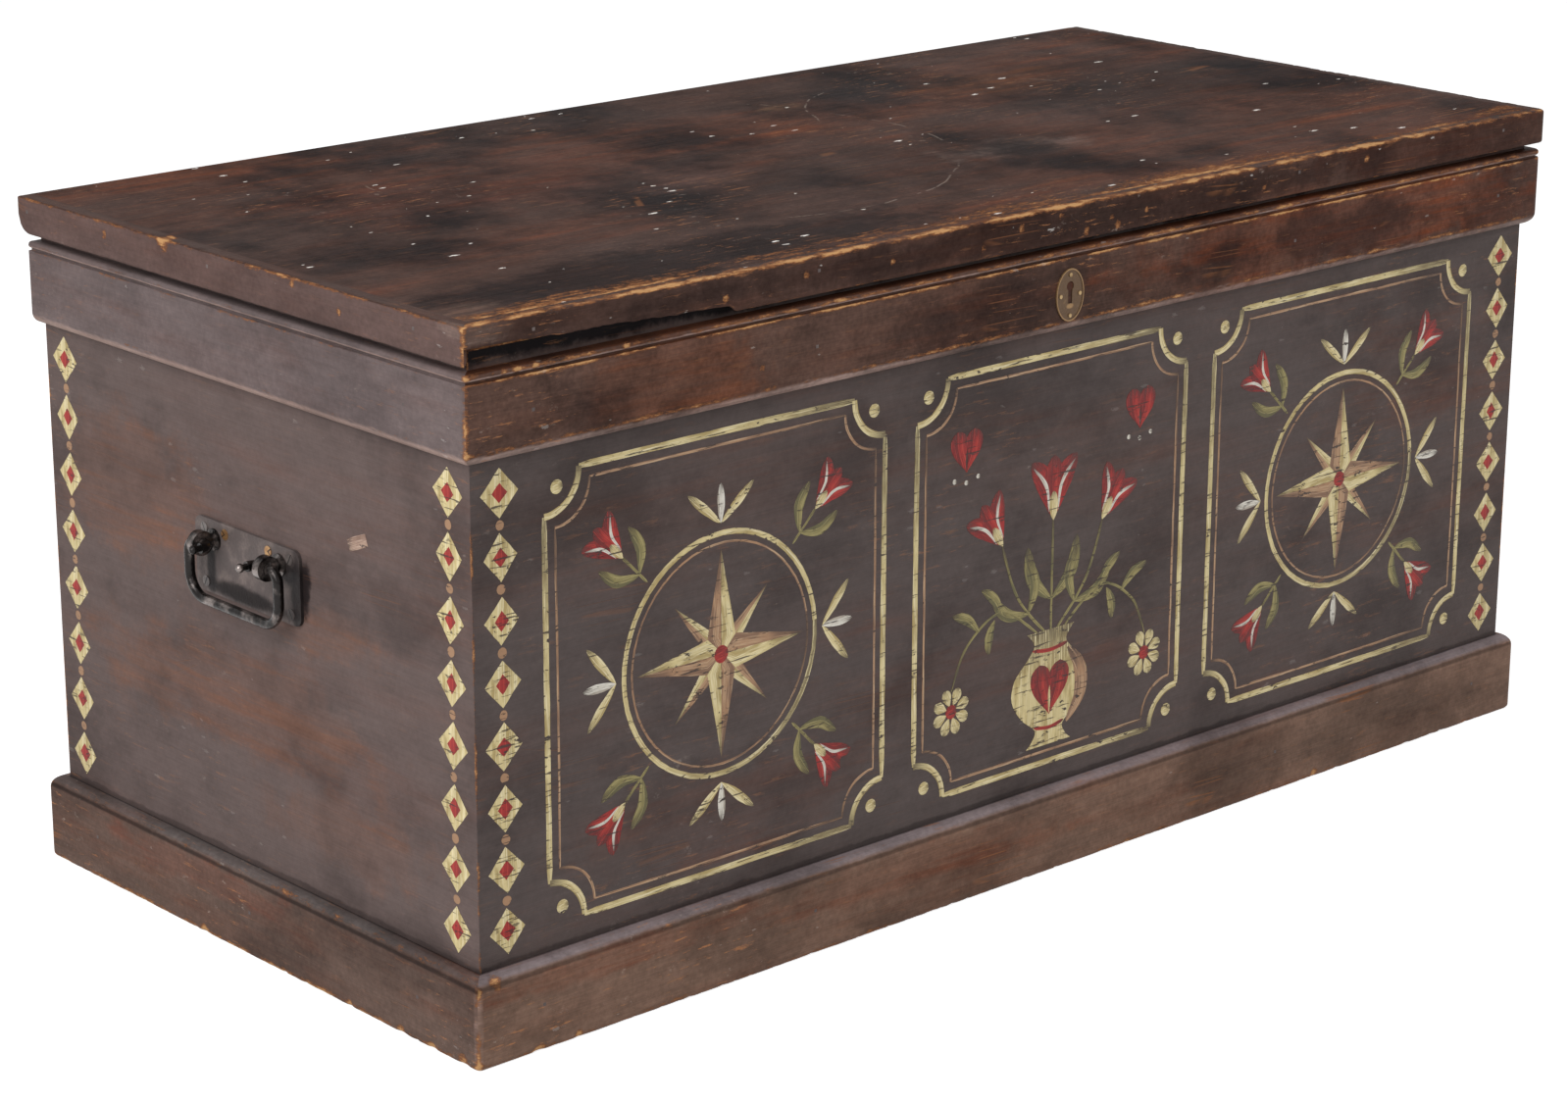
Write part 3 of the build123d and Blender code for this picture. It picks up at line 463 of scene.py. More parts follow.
def scuffed(tree, grain, place, paint, rub, worked, arcs):
    """Paint with scratches, flecks and scuffs. Gives the paint and where it is scratched."""
    along = scratches(tree, grain, 2, (2.5, 110.0, 1.0), 0.035, 0.40, (0.3, 4.1, 0.0))
    astray = scratches(tree, grain, 24, (3.0, 26.0, 1.0), 0.007, 0.36, (7.7, 0.6, 2.0))
    scored = larger(tree, along, astray)
    paint = tint(tree, times(tree, scored, 0.5 * rub), paint, RUBBED_BROWN)
    flecks = fade(tree, cloud(tree, grain, (30, 260, 2), 6.0, 0.78, (8, 1, 3)), 0.590, 0.620)
    flecks = times(tree, flecks, between(tree, worked, 0.20, 1.0))
    paint = tint(tree, times(tree, flecks, min(0.85, 0.75 * rub)), paint, FLECK_BROWN)
    scuffs = fade(tree, cloud(tree, grain, (55, 90, 2), 7.0, 0.78, (4, 4, 4)), 0.60, 0.70)
    scuffs = times(tree, scuffs, worked)
    for centre, radius in arcs:
        curved = times(tree, arc(tree, place, centre, radius), 0.7)
        scuffs = larger(tree, scuffs, curved)
    return tint(tree, times(tree, scuffs, 0.45 * rub), paint, DUST), scored


def worn_through(tree, grain, paint, wear):
    """Paint rubbed brown and then bare by wear. Gives the paint and where it is rubbed."""
    crumbs = minus(tree, cloud(tree, grain, (80, 220, 40), 8.0, 0.88), 0.5)
    crumbs = times(tree, crumbs, fade(tree, wear, 0.02, 0.25))
    worn = plus(tree, wear, times(tree, crumbs, 3.4))
    rubbed, bare = fade(tree, worn, 0.24, 0.56), fade(tree, worn, 0.60, 0.86)
    paint = tint(tree, times(tree, rubbed, 0.8), paint, RUBBED_BROWN)
    return tint(tree, times(tree, bare, 0.8), paint, GOLDEN_WOOD), rubbed


def old_paint(tree, grain, place, base, look, wear=None, marks=(), arcs=()):
    """Worn brown paint. Gives its colour, roughness and height.

    A look is six amounts: red, and black, over the base; how clearly the grain shows; how
    mottled, how scratched and how dusty it is. Wear is 1 where an edge has lost its paint.
    Marks are single patches: centre, half size, colour, amount.
    """
    red, black, grainy, mottled, rub, dusty = look
    paint = patched(tree, grain, place, base, red, black, marks)
    smear = cloud(tree, grain, (24.0, 46.0, 1.0), 8.0, 0.72, (2.0, 9.1, 0.4))
    grit = cloud(tree, place, (260.0, 260.0, 260.0), 2.0, 0.6)
    streak = cloud(tree, grain, (4.0, 150.0, 1.0), 5.0, 0.62)
    fibre = cloud(tree, grain, (22.0, 900.0, 1.0), 3.0, 0.6)
    fine = 0.5 * mottled
    for clouds, amount in ((streak, grainy), (fibre, grainy), (smear, mottled), (grit, fine)):
        paint = shade(tree, paint, between(tree, clouds, 1 - 2 * amount, 1 + 2 * amount))
    worked = fade(tree, cloud(tree, place, (5.5, 5.5, 5.5), 3.0, 0.5, (6, 2, 9)), 0.48, 0.66)
    paint, scored = scuffed(tree, grain, place, paint, rub, worked, arcs)
    rubbed = 0.0
    if wear is not None:
        paint, rubbed = worn_through(tree, grain, paint, wear)
    share = between(tree, worked, 0.07, 0.34)
    dots = specks(tree, stretched(tree, grain, (0.4, 1.0, 1.0)), 80.0, 0.0014, share)
    paint = tint(tree, times(tree, dots, dusty), paint, PALE_DUST)
    gloss = cloud(tree, place, (9.0, 9.0, 9.0), 5.0, 0.6, (0.0, 8.0, 1.0))
    rough = plus(tree, between(tree, gloss, 0.38, 0.74), times(tree, rubbed, 0.1))
    height = plus(tree, plus(tree, streak, times(tree, fibre, 0.35)), smear)
    height = minus(tree, height, times(tree, scored, 0.5))
    height = minus(tree, height, times(tree, rubbed, 0.4))
    return paint, rough, height


# %% [markdown]
# ## Bare pine
#
# Inside, the boards were never painted. Old pine goes tan, with long growth lines. The lines
# are bands across the grain, bent a little by noise, and the same calculation serves for the
# raw rim of the box.


# %% Bare pine
PINE = colour(176, 138, 98)
PINE_LATE = colour(130, 92, 60)
PINE_DIRT = colour(84, 66, 52)
PLANK = 0.1732           # the width of a plank, in metres
PLANK_START = 0.2555     # where the first one starts, in front of the middle


def bare_pine(tree, grain, place, dirt):
    """Unpainted old pine, with an arch of growth lines to each plank's width."""
    run, across, _ = split(tree, grain)
    planks = calc(tree, "DIVIDE", plus(tree, across, PLANK_START), PLANK)
    plank = calc(tree, "FLOOR", planks)
    chance = put(tree, "ShaderNodeTexWhiteNoise", {"W": plank}, noise_dimensions="1D").outputs[0]
    heart = minus(tree, calc(tree, "FRACT", planks), between(tree, chance, 0.25, 0.75))
    heart = times(tree, heart, PLANK)
    arch = plus(tree, times(tree, run, 0.075), between(tree, chance, -0.04, 0.04))
    far = length_of(tree, join(tree, heart, arch))
    sway = cloud(tree, grain, (2.4, 9.0, 2.0), 4.0, 0.55)
    rings = plus(tree, times(tree, far, 150.0), times(tree, sway, 5.0))
    late = fade(tree, calc(tree, "FRACT", rings), 0.35, 0.95)
    fibre = cloud(tree, grain, (20.0, 700.0, 1.0), 3.0, 0.6)
    paint = tint(tree, times(tree, late, 0.45), PINE, PINE_LATE)
    paint = shade(tree, paint, between(tree, fibre, 0.78, 1.20))
    paint = shade(tree, paint, between(tree, chance, 0.90, 1.08))
    grime = fade(tree, cloud(tree, place, (5.0, 5.0, 5.0), 6.0, 0.68), 0.40, 0.75)
    paint = tint(tree, times(tree, grime, dirt), paint, PINE_DIRT)
    height = plus(tree, times(tree, late, 0.5), fibre)
    return paint, between(tree, fibre, 0.55, 0.8), height


# %% [markdown]
# ## Boards
#
# Each board is painted on its outer face and bare on the others. One material holds both, and
# picks by where a point lies: on the outside planes of the box, or on the top of the lid.
# Light rubbed marks, a plugged knot and the worn spots of the lid are single patches, and so is
# painted shade in the recess under the lid and in the crease above the plinth, and a painted
# shadow beside a handle plate. The ends are a lighter brown: painted light, for their sheen.

# %% Where the boards are painted
SKIN = 0.0002            # how thick the painted skin of a board is taken to be
CARCASE_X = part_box("front_board")[1].x
CARCASE_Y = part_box("back_board")[1].y
LID_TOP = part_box("lid_board_1")[1].z
LID_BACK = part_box("lid_board_3")[1].y
LID_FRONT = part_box("lid_board_1")[0].y
PAINT_RELIEF = 0.00035
PAINT_SPECULAR = 0.045
RAW_DIRT, INSIDE_DIRT = 0.45, 0.6


def outside_of_box(tree):
    """1 on the outer faces of the carcase."""
    place = split(tree, place_of(tree))
    on_x = calc(tree, "GREATER_THAN", size_of(tree, place[0]), CARCASE_X - SKIN)
    on_y = calc(tree, "GREATER_THAN", size_of(tree, place[1]), CARCASE_Y - SKIN)
    return larger(tree, on_x, on_y)


def outside_of_lid(tree):
    """1 on the top and the long edges of the lid."""
    place = split(tree, place_of(tree))
    on_top = calc(tree, "GREATER_THAN", place[2], LID_TOP - SKIN)
    on_back = calc(tree, "GREATER_THAN", place[1], LID_BACK - SKIN)
    on_front = calc(tree, "LESS_THAN", place[1], LID_FRONT + SKIN)
    return larger(tree, on_top, larger(tree, on_back, on_front))


def front_edge_of_lid(tree):
    """Wear that grows towards the front edge of the lid."""
    near = split(tree, place_of(tree))[1]
    rubs = fade(tree, cloud(tree, place_of(tree), (7.0, 30.0, 1.0), 5.0, 0.7), 0.36, 0.60)
    close = fade(tree, near, LID_FRONT + 38 * MM, LID_FRONT - 4 * MM)
    return times(tree, close, between(tree, rubs, 0.16, 0.72))


def off_the_box(tree):
    """How far a point lies outside the ends of the box, and outside its front and back."""
    x, y, _ = split(tree, place_of(tree))
    return minus(tree, size_of(tree, x), CARCASE_X), minus(tree, size_of(tree, y), CARCASE_Y)


def corners_of_box(tree):
    """Wear along the upright corners of the carcase."""
    close = fade(tree, calc(tree, "MINIMUM", *off_the_box(tree)), -2.4 * MM, -0.3 * MM)
    rubs = fade(tree, cloud(tree, place_of(tree), (9.0, 9.0, 22.0), 4.0, 0.65), 0.38, 0.62)
    return times(tree, close, between(tree, rubs, 0.05, 0.6))


def on_ends(tree):
    """1 on faces that look along the length of the chest."""
    return calc(tree, "GREATER_THAN", size_of(tree, facing_of(tree)[0]), ALONG_AXIS)


# %% Materials of the boards
def board_finish(name, outside, bases, look, specular, marks=(), arcs=(), worn=None):
    """Painted outside, bare inside. Bases are the brown of the long faces and the lighter brown
    of the ends, painted light for the sheen on the ends.
    """
    material, tree, shader = new_finish(name, specular)
    grain, place = grain_of_board(tree), place_of(tree)
    # The ends take the lighter brown: painted light, for their sheen
    base = tint(tree, on_ends(tree), *bases)
    wear = worn(tree) if worn else None
    painted = old_paint(tree, grain, place, base, look, wear, marks, arcs)
    bare = bare_pine(tree, grain, place, RAW_DIRT)
    skin = outside(tree)
    paint = tint(tree, skin, bare[0], painted[0])
    rough, height = [
        put(tree, "ShaderNodeMix", {0: skin, 2: inner, 3: outer}).outputs[0]
        for inner, outer in zip(bare[1:], painted[1:])
    ]
    lay(tree, shader, paint, rough, height, PAINT_RELIEF)
    return material


# Single patches: centre and half size in millimetres, colour, amount
LID_MARKS = (
    ((250, -20, 517), (200, 110, 20), colour(62, 49, 46), 0.5),
    ((-300, 60, 517), (170, 80, 20), colour(84, 46, 34), 0.7),
    ((-60, -60, 517), (240, 70, 20), BLACK_DIRT_AND_SHADE, 0.22),
    ((-330, -210, 517), (260, 50, 20), BLACK_DIRT_AND_SHADE, 0.7),
    ((420, 20, 517), (190, 150, 20), BLACK_DIRT_AND_SHADE, 0.45),
    ((-170, -5, 517), (110, 50, 20), colour(96, 72, 66), 0.5),
    ((110, -90, 517), (80, 44, 20), colour(116, 102, 96), 0.55),
    ((300, 120, 517), (90, 50, 20), colour(92, 58, 38), 0.6),
    ((-532, -240, 517), (34, 26, 20), colour(140, 118, 106), 0.3),
    ((90, 150, 517), (24, 15, 20), colour(128, 98, 76), 0.85),
    # Painted shade: near black on the front edge of the lid boards, in the recess where the lip
    # has split away
    ((0, -256, 505), (700, 3, 9), BLACK_DIRT_AND_SHADE, 1.0),
)
# Curved scratches: centre and radius in millimetres
LID_ARCS = (((150, -20), 90), ((210, 40), 150), ((-120, 60), 240))
CARCASE_MARKS = (
    ((-545, 30, 190), (20, 200, 44), RUST_BROWN, 0.5),
    ((-545, 150, 320), (20, 100, 60), RUST_BROWN, 0.6),
    ((-545, -90, 265), (20, 70, 22), RUST_BROWN, 0.6),
    ((-545, -110, 120), (20, 110, 34), RUST_BROWN, 0.55),
    # Painted shadow: black on the end beside the edge of the handle plate
    ((-545, -66, 288), (20, 8, 24), BLACK_DIRT_AND_SHADE, 0.9),
    # Painted shade: dark lines in the crease just above the plinth, on the end and on the front
    ((-545, 0, 66), (20, 900, 4), BLACK_DIRT_AND_SHADE, 0.4),
    ((0, -255, 66), (900, 20, 4), BLACK_DIRT_AND_SHADE, 0.4),
    ((420, -255, 330), (110, 20, 60), RED_BROWN, 0.25),
    ((-330, -255, 130), (150, 20, 40), RED_BROWN, 0.25),
    # Painted shade: near black on the box above the band, in the recess under the split lip of
    # the lid
    ((0, -255, 494), (900, 20, 9), BLACK_DIRT_AND_SHADE, 1.0),
)
# Looks: red, black, grainy, mottled, scratched, dusty
LID_LOOK = (0.85, 0.88, 0.08, 0.34, 0.8, 1.0)
CARCASE_LOOK = (0.36, 0.36, 0.07, 0.13, 0.35, 0.06)
LID_SPECULAR = 0.01
LID_FINISH = board_finish(
    "painted_lid",
    outside_of_lid,
    (LID_BROWN, LID_BROWN),
    LID_LOOK,
    LID_SPECULAR,
    LID_MARKS,
    LID_ARCS,
    front_edge_of_lid,
)
CARCASE_FINISH = board_finish(
    "painted_carcase",
    outside_of_box,
    (CARCASE_BROWN, END_SHEEN_BROWN),
    CARCASE_LOOK,
    PAINT_SPECULAR,
    CARCASE_MARKS,
    worn=corners_of_box,
)
print("outer faces of the box at", round(CARCASE_X, 4), round(CARCASE_Y, 4))


# %% Give the boards their finishes
def dress(node, material):
    """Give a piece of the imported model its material."""
    mesh = NODES[node].data
    if mesh.materials:
        for index in range(len(mesh.materials)):
            mesh.materials[index] = material
    else:
        mesh.materials.append(material)


def inside_finish(name):
    """Bare pine all over, for boards that run from front to back."""
    material, tree, shader = new_finish(name, 0.25)
    look = bare_pine(tree, grain_of_cross_board(tree), place_of(tree), INSIDE_DIRT)
    lay(tree, shader, *look, PAINT_RELIEF)
    return material


INSIDE_FINISH = inside_finish("bare_pine")
for node in NODES:
    if node.startswith("lid_board"):
        dress(node, LID_FINISH)
    elif node.endswith(("front_board", "back_board", "end_board")):
        dress(node, CARCASE_FINISH)
    elif node.startswith(("bottom_board", "lid_batten")):
        dress(node, INSIDE_FINISH)

# %% [markdown]
# ## Mouldings
#
# The plinth, the band and the lips of the lid take all the knocks, so they are made again as
# fine meshes. A section is sampled point by point and carried along its side. Towards a mitred
# corner it is drawn in, so that the upright edge comes out rounded, and neighbours still meet
# on the mitre. Noise read at each point dents the edges, inward only, and is written to the
# mesh as wear, which the paint reads.

# %% Sampling a section
SAMPLE = 1.0             # steps round an arc, in millimetres
FLAT_SAMPLE = 2.0        # steps along a straight run


def rounded(corners, radii):
    """Points round a section, with arcs at its corners: outward distance and height."""
    points = [corners[0]]
    for before, corner, after, radius in zip(corners, corners[1:], corners[2:], radii):
        a, b, c = Vector(before), Vector(corner), Vector(after)
        to_a, to_c = (a - b).normalized(), (c - b).normalized()
        half = to_a.angle(to_c) / 2
        if radius <= 0:
            points.append(tuple(b))
            continue
        reach = radius / math.tan(half)
        centre = b + (to_a + to_c).normalized() * radius / math.sin(half)
        start, stop = b + to_a * reach - centre, b + to_c * reach - centre
        sweep = start.angle_signed(stop)
        steps = max(3, math.ceil(abs(sweep) * radius / SAMPLE))
        for step in range(steps + 1):
            angle = -sweep * step / steps
            turned = Matrix.Rotation(angle, 2) @ start
            points.append(tuple(centre + turned))
    points.append(corners[-1])
    return divided(points)


def divided(points):
    """Long straight runs of a section cut into short ones."""
    out = [points[0]]
    for a, b in zip(points, points[1:]):
        length = math.dist(a, b)
        steps = max(1, math.ceil(length / FLAT_SAMPLE))
        out += [tuple(Vector(a).lerp(Vector(b), n / steps)) for n in range(1, steps + 1)]
    return [p for n, p in enumerate(out) if n == 0 or math.dist(p, out[n - 1]) > 0.01]


# %% [markdown]
# Three sections were planed for this chest: a square lip with eased edges, a band with a
# groove and a bead along its upper edge, and a plinth with a broad rounded shoulder. Their
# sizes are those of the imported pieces. The edges that stand out are the ones that wear.


# %% The three sections
def in_mm(node, corner, axis):
    """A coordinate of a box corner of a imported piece, in millimetres: corner 0 low, 1 high."""
    return round(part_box(node)[corner][axis] / MM, 2)


RIM_X, RIM_Y = in_mm("front_board", 1, 0), -in_mm("front_board", 0, 1)
LIP_LOW, LIP_HIGH = in_mm("lid_lip_front", 0, 2), in_mm("lid_lip_front", 1, 2)
LIP_THICK = in_mm("lid_lip_front", 1, 1) - in_mm("lid_lip_front", 0, 1)
LIP_GAP = -in_mm("lid_lip_front", 1, 1) - RIM_Y
BAND_LOW, BAND_HIGH = in_mm("band_front", 0, 2), in_mm("band_front", 1, 2)
BAND_THICK = -in_mm("band_front", 0, 1) - RIM_Y
PLINTH_HIGH, PLINTH_THICK = in_mm("plinth_front", 1, 2), -in_mm("plinth_front", 0, 1) - RIM_Y
QUIRK_LOW, QUIRK_HIGH, QUIRK_IN = 477.9, 479.3, 8.4
BEAD = 2.6

lip_section = rounded(
    [(0, LIP_LOW), (LIP_THICK, LIP_LOW), (LIP_THICK, LIP_HIGH), (0, LIP_HIGH)], [1.6, 1.8]
)
bead = [
    (QUIRK_IN + BEAD * math.cos(a), QUIRK_HIGH + BEAD + BEAD * math.sin(a))
    for a in [math.radians(-90 + 180 * n / 10) for n in range(11)]
]
band_section = rounded(
    [(0, BAND_LOW), (BAND_THICK, BAND_LOW), (BAND_THICK, QUIRK_LOW), (QUIRK_IN, QUIRK_LOW)],
    [9.0, 0.6],
)
band_section = divided(band_section + bead + [(0, BAND_HIGH)])
plinth_section = rounded(
    [(0, 0), (PLINTH_THICK, 0), (PLINTH_THICK, PLINTH_HIGH), (0, PLINTH_HIGH)], [3.0, 9.0]
)
# Edges that wear: outward distance, height, reach inward, reach in height, share
LIP_EDGES = [(9.0, LIP_HIGH, 6.5, 1.9, 1.0), (LIP_THICK, LIP_LOW, 1.8, 1.8, 0.35)]
LIP_END_EDGES = [(11.6, 516.6, 2.0, 1.8, 1.0), (LIP_THICK, LIP_LOW, 1.6, 1.6, 0.35)]
BAND_EDGES = [
    (11, 477.4, 1.3, 1.5, 1.0),
    (11, 482, 2.2, 2.2, 0.62),
    (10.9, 430, 2.0, 1.7, 0.62),
    (8.4, 484.5, 1.2, 1.2, 0.3),
]
PLINTH_EDGES = [(10, 62.5, 4.0, 4.0, 0.28), (12.5, 1, 3.0, 3.0, 0.85)]
# Single knocks: place along the side, height, radius
KNOCKS = {
    "worn_lip_front": (
        (-261, 506, 4), (-335, 497, 4), (-52, 508, 4), (-91, 498, 3), (-12, 511, 3), (15, 495, 4),
        (48, 496, 4), (42, 502, 3), (79, 502, 3), (-180, 503, 3), (210, 500, 3), (330, 507, 4),
    ),
    "worn_lip_left": ((75, 515, 9), (-80, 513, 4), (-133, 503, 3), (150, 508, 4)),
    "worn_band_front": (
        (-523, 482, 3), (-512, 482, 3.5), (-497, 482, 3), (-420, 482, 3), (-300, 446, 3),
    ),
    "worn_plinth_front": ((-540, 60, 6), (-556, 58, 4), (-505, 2, 6), (-470, 3, 4), (300, 4, 5)),
    "worn_plinth_left": ((-250, 3, 7), (-215, 2, 5), (-180, 2, 6), (-120, 2, 4), (60, 3, 5)),
}
print("section points:", len(lip_section), len(band_section), len(plinth_section))

# %% [markdown]
# A moulding was nailed on from one mitre to the next. Rings of the section stand close
# together round a mitred corner, where the rounding has to be smooth, and further apart along
# the straight. All noise is read at the place in space, so both sides of a mitre agree.

# %% Rings along a side
RING_STEP = 2.4
CORNER_RINGS = 8
CORNER_SPAN = 1.2        # the corner rings cover so many times the radius
MITRE_SHARE = 1 - math.sqrt(0.5)


def drawn_in(distance, radius):
    """How far a rounded corner lies inside a sharp one, by the distance from the corner."""
    if radius <= 0 or distance >= radius:
        return 0.0
    return radius - math.sqrt(radius**2 - (radius - distance) ** 2)


def ring_places(start, stop, start_radius, stop_radius):
    """Places of the rings along a side, close together round its corners."""
    low, high = start + MITRE_SHARE * start_radius, stop - MITRE_SHARE * stop_radius
    near, far = start_radius * CORNER_SPAN, stop_radius * CORNER_SPAN
    places = [low + near * (n / CORNER_RINGS) for n in range(CORNER_RINGS)] if near else [low]
    middle_low, middle_high = low + near, high - far
    count = round((middle_high - middle_low) / RING_STEP)
    places += [middle_low + (middle_high - middle_low) * n / count for n in range(count + 1)]
    if far:
        places += [high - far * (1 - n / CORNER_RINGS) for n in range(1, CORNER_RINGS + 1)]
    return sorted(set(round(p, 4) for p in places))


def section_normals(section):
    """Which way the section faces at each of its points: outward and up."""
    normals = []
    last = len(section) - 1
    for n in range(last + 1):
        run = Vector(section[min(n + 1, last)]) - Vector(section[max(n - 1, 0)])
        run = run.normalized()
        normals.append((run.y, -run.x))
    return normals


def ring_faces(rings, count):
    """Faces between neighbouring rings of so many points."""
    faces = []
    for base in range(0, (rings - 1) * count, count):
        for n in range(count):
            m = (n + 1) % count
            faces.append((base + n, base + m, base + count + m, base + count + n))
    return faces


# %% How a moulding wears
CORNER_REACH = 3.2       # wear of a mitred corner, along the side
DENT_DEPTH = 2.6
SKIN_REACH = 2.5         # dents start so far out from the inner face
OUTER_REACH = 3.0        # a corner is bare so far in from the outer face
SAWN_WEAR = 0.35


def rough_at(x, y, z, per_mm):
    """Noise around 0 that depends only on the place, so that neighbours agree."""
    return noise.noise(Vector((x, y, z)) * per_mm)


def edge_at(edges, out, z):
    """How near a point of a section is to an edge that wears, from 0 to 1."""
    return max(
        share * math.exp(-(((out - edge_out) / inward) ** 2) - ((z - edge_z) / upward) ** 2)
        for edge_out, edge_z, inward, upward, share in edges
    )


def knock_at(name, along, out, z):
    """How deep a single knock is at a point, from 0 to 1."""
    knock = 0.0
    for place, height, radius in KNOCKS.get(name, ()):
        if abs(along - place) < radius and out > 0.5:
            near = math.hypot(along - place, z - height) / radius
            knock = max(knock, 1 - near * near)
    return knock


def worn_at(x, y, z, skin, outer, edge, corner, knock, hard):
    """How deep a point is dented, in millimetres, and how bare it has worn."""
    uneven = rough_at(x, y, z, 0.035) + 0.6 * rough_at(x, y, z, 0.11)
    dent = max(0.0, rough_at(x, y, z * 1.6, 0.16) + 0.25 * rough_at(x, y, z, 0.5)) ** 2
    hollow = 0.05 + DENT_DEPTH * edge * dent + 0.35 * corner * edge
    depth = skin * (hollow + 0.5 * edge * max(0.0, uneven))
    depth += skin * 0.10 * (0.5 + 0.5 * rough_at(x, y, z, 0.07)) + 0.8 * skin * knock
    wear = hard * edge * (0.68 + 0.7 * uneven) + corner * outer * (0.85 + 0.8 * uneven)
    return depth, max(0.0, wear) + 0.4 * hard * edge * dent + 0.75 * knock


# %% Finishing a mesh
def outward_faces(mesh, smooth_below=40):
    """Turn the faces of a mesh outward and shade it smooth, but for its sharp edges."""
    work = bmesh.new()
    work.from_mesh(mesh)
    bmesh.ops.recalc_face_normals(work, faces=work.faces)
    work.to_mesh(mesh)
    work.free()
    mesh.shade_smooth()
    mesh.set_sharp_from_angle(angle=math.radians(smooth_below))


def write_vectors(mesh, name, triples):
    """Keep a vector with each point of a mesh, for its material to read."""
    flat = [v for triple in triples for v in triple]
    mesh.attributes.new(name, "FLOAT_VECTOR", "POINT").data.foreach_set("vector", flat)


# %% A whole moulding
GRAIN_DEPTH = {"front": 1.0, "back": 2.0, "left": 3.0, "right": 4.0}


def moulding(name, side, section, thick, gap, start, stop, edges, foot=None, hard=1.0):
    """A moulding along one side. Start and stop are the radius of a mitred corner, or
    ("square", place) for an end sawn off square. Foot gives how far its foot is broken away,
    and hard is how bare its edges have worn."""
    on_end = side in ("left", "right")
    outward = -1 if side in ("front", "left") else 1
    half = (RIM_Y if on_end else RIM_X) + gap
    face = (RIM_X if on_end else RIM_Y) + gap
    start_square, stop_square = isinstance(start, tuple), isinstance(stop, tuple)
    low = start[1] if start_square else -(half + thick)
    high = stop[1] if stop_square else half + thick
    start_radius = 0.0 if start_square else start
    stop_radius = 0.0 if stop_square else stop
    foot_z, top_z = min(z for _, z in section), max(z for _, z in section)
    places = ring_places(low, high, start_radius, stop_radius)
    count = len(section)
    normals = section_normals(section)
    girths = [0.0]
    for a, b in zip(section, section[1:]):
        girths.append(girths[-1] + math.dist(a, b))
    verts, wears, grains = [], [], []
    for at in places:
        off = drawn_in(at - low, start_radius) + drawn_in(high - at, stop_radius)
        first = low if start_square else -(half + thick - off)
        last = high if stop_square else half + thick - off
        share = (at - first) / (last - first)
        rise = foot(at - low, high - at) if foot else 0.0
        corner = max(
            0.0 if start_square else math.exp(-(((at - low) / CORNER_REACH) ** 2)),
            0.0 if stop_square else math.exp(-(((high - at) / CORNER_REACH) ** 2)),
        )
        for n, (out, z) in enumerate(section):
            drawn = out * (1 - off / thick)
            begin = low if start_square else -(half + drawn)
            end = high if stop_square else half + drawn
            along = begin + share * (end - begin)
            up = foot_z + rise + (z - foot_z) * (top_z - foot_z - rise) / (top_z - foot_z)
            across = outward * (face + drawn)
            x, y = (across, along) if on_end else (along, across)
            skin = min(1.0, out / SKIN_REACH)
            outer = max(0.0, 1 - (thick - out) / OUTER_REACH)
            edge, knock = edge_at(edges, out, z), knock_at(name, along, out, z)
            depth, wear = worn_at(x, y, z, skin, outer, edge, corner, knock, hard)
            push_out, push_up = normals[n]
            across -= outward * depth * push_out
            up -= depth * push_up
            x, y = (across, along) if on_end else (along, across)
            verts.append((x * MM, y * MM, up * MM))
            wears.append(wear)
            grains.append((along * MM, girths[n] * MM, GRAIN_DEPTH[side]))
    faces = ring_faces(len(places), count)
    for ring in (0, (len(places) - 1) * count):
        faces.append(tuple(range(len(verts), len(verts) + count)))
        verts += verts[ring : ring + count]
        grains += grains[ring : ring + count]
        wears += [SAWN_WEAR] * count
    mesh = bpy.data.meshes.new(name)
    mesh.from_pydata(verts, [], faces)
    mesh.attributes.new("wear", "FLOAT", "POINT").data.foreach_set("value", wears)
    write_vectors(mesh, "grain", grains)
    outward_faces(mesh)
    print(name, "rings", len(places), "faces", len(mesh.polygons))
    return stand(name, mesh)


# %% [markdown]
# The same old paint goes on every moulding, with a look of its own for each. The plinth's tops
# are painted paler or darker as a sheen, a ledge has a painted dark shoulder and painted shade
# where it meets the box, and the underside of the band is painted paler, as light from the
# floor below.

# %% Materials of the mouldings
def crease_shade(tree):
    """1 in the crease between a moulding and the box, which is darkened as painted shade."""
    return fade(tree, larger(tree, *off_the_box(tree)), 2.0 * MM, 0.5 * MM)


def moulding_finish(name, base, look, specular, marks=(), top=None, under=None, shoulder=0.0):
    """Painted pine that wears where its mesh says so. Its top may have a colour of its own, on
    the plinths a painted sheen or shade, and its underside a painted paler tone for light from
    below. A ledge has a painted dark shoulder, and painted shade where it meets the box."""
    material, tree, shader = new_finish(name, specular)
    wear = put(tree, "ShaderNodeAttribute", attribute_name="wear").outputs["Fac"]
    upward = facing_of(tree)[2]
    # The top takes its own colour, on the plinths a painted sheen or shade, and the underside a
    # painted paler tone for light from below
    paint = tint(tree, fade(tree, upward, 0.45, 0.8), base, top or base)
    paint = tint(tree, fade(tree, upward, -0.12, -0.5), paint, under or base)
    grain, place = grain_of_moulding(tree), place_of(tree)
    worn, rough, height = old_paint(tree, grain, place, paint, look, wear, marks)
    if shoulder:
        # Painted shade: a dark band on the rounded shoulder of a ledge, and darkening in the
        # crease where it meets the box
        bend = times(tree, fade(tree, upward, 0.10, 0.3), fade(tree, upward, 0.62, 0.42))
        worn = tint(tree, times(tree, bend, shoulder), worn, BLACK_DIRT_AND_SHADE)
        worn = tint(tree, times(tree, crease_shade(tree), 0.75), worn, BLACK_DIRT_AND_SHADE)
    lay(tree, shader, worn, rough, height, PAINT_RELIEF)
    return material


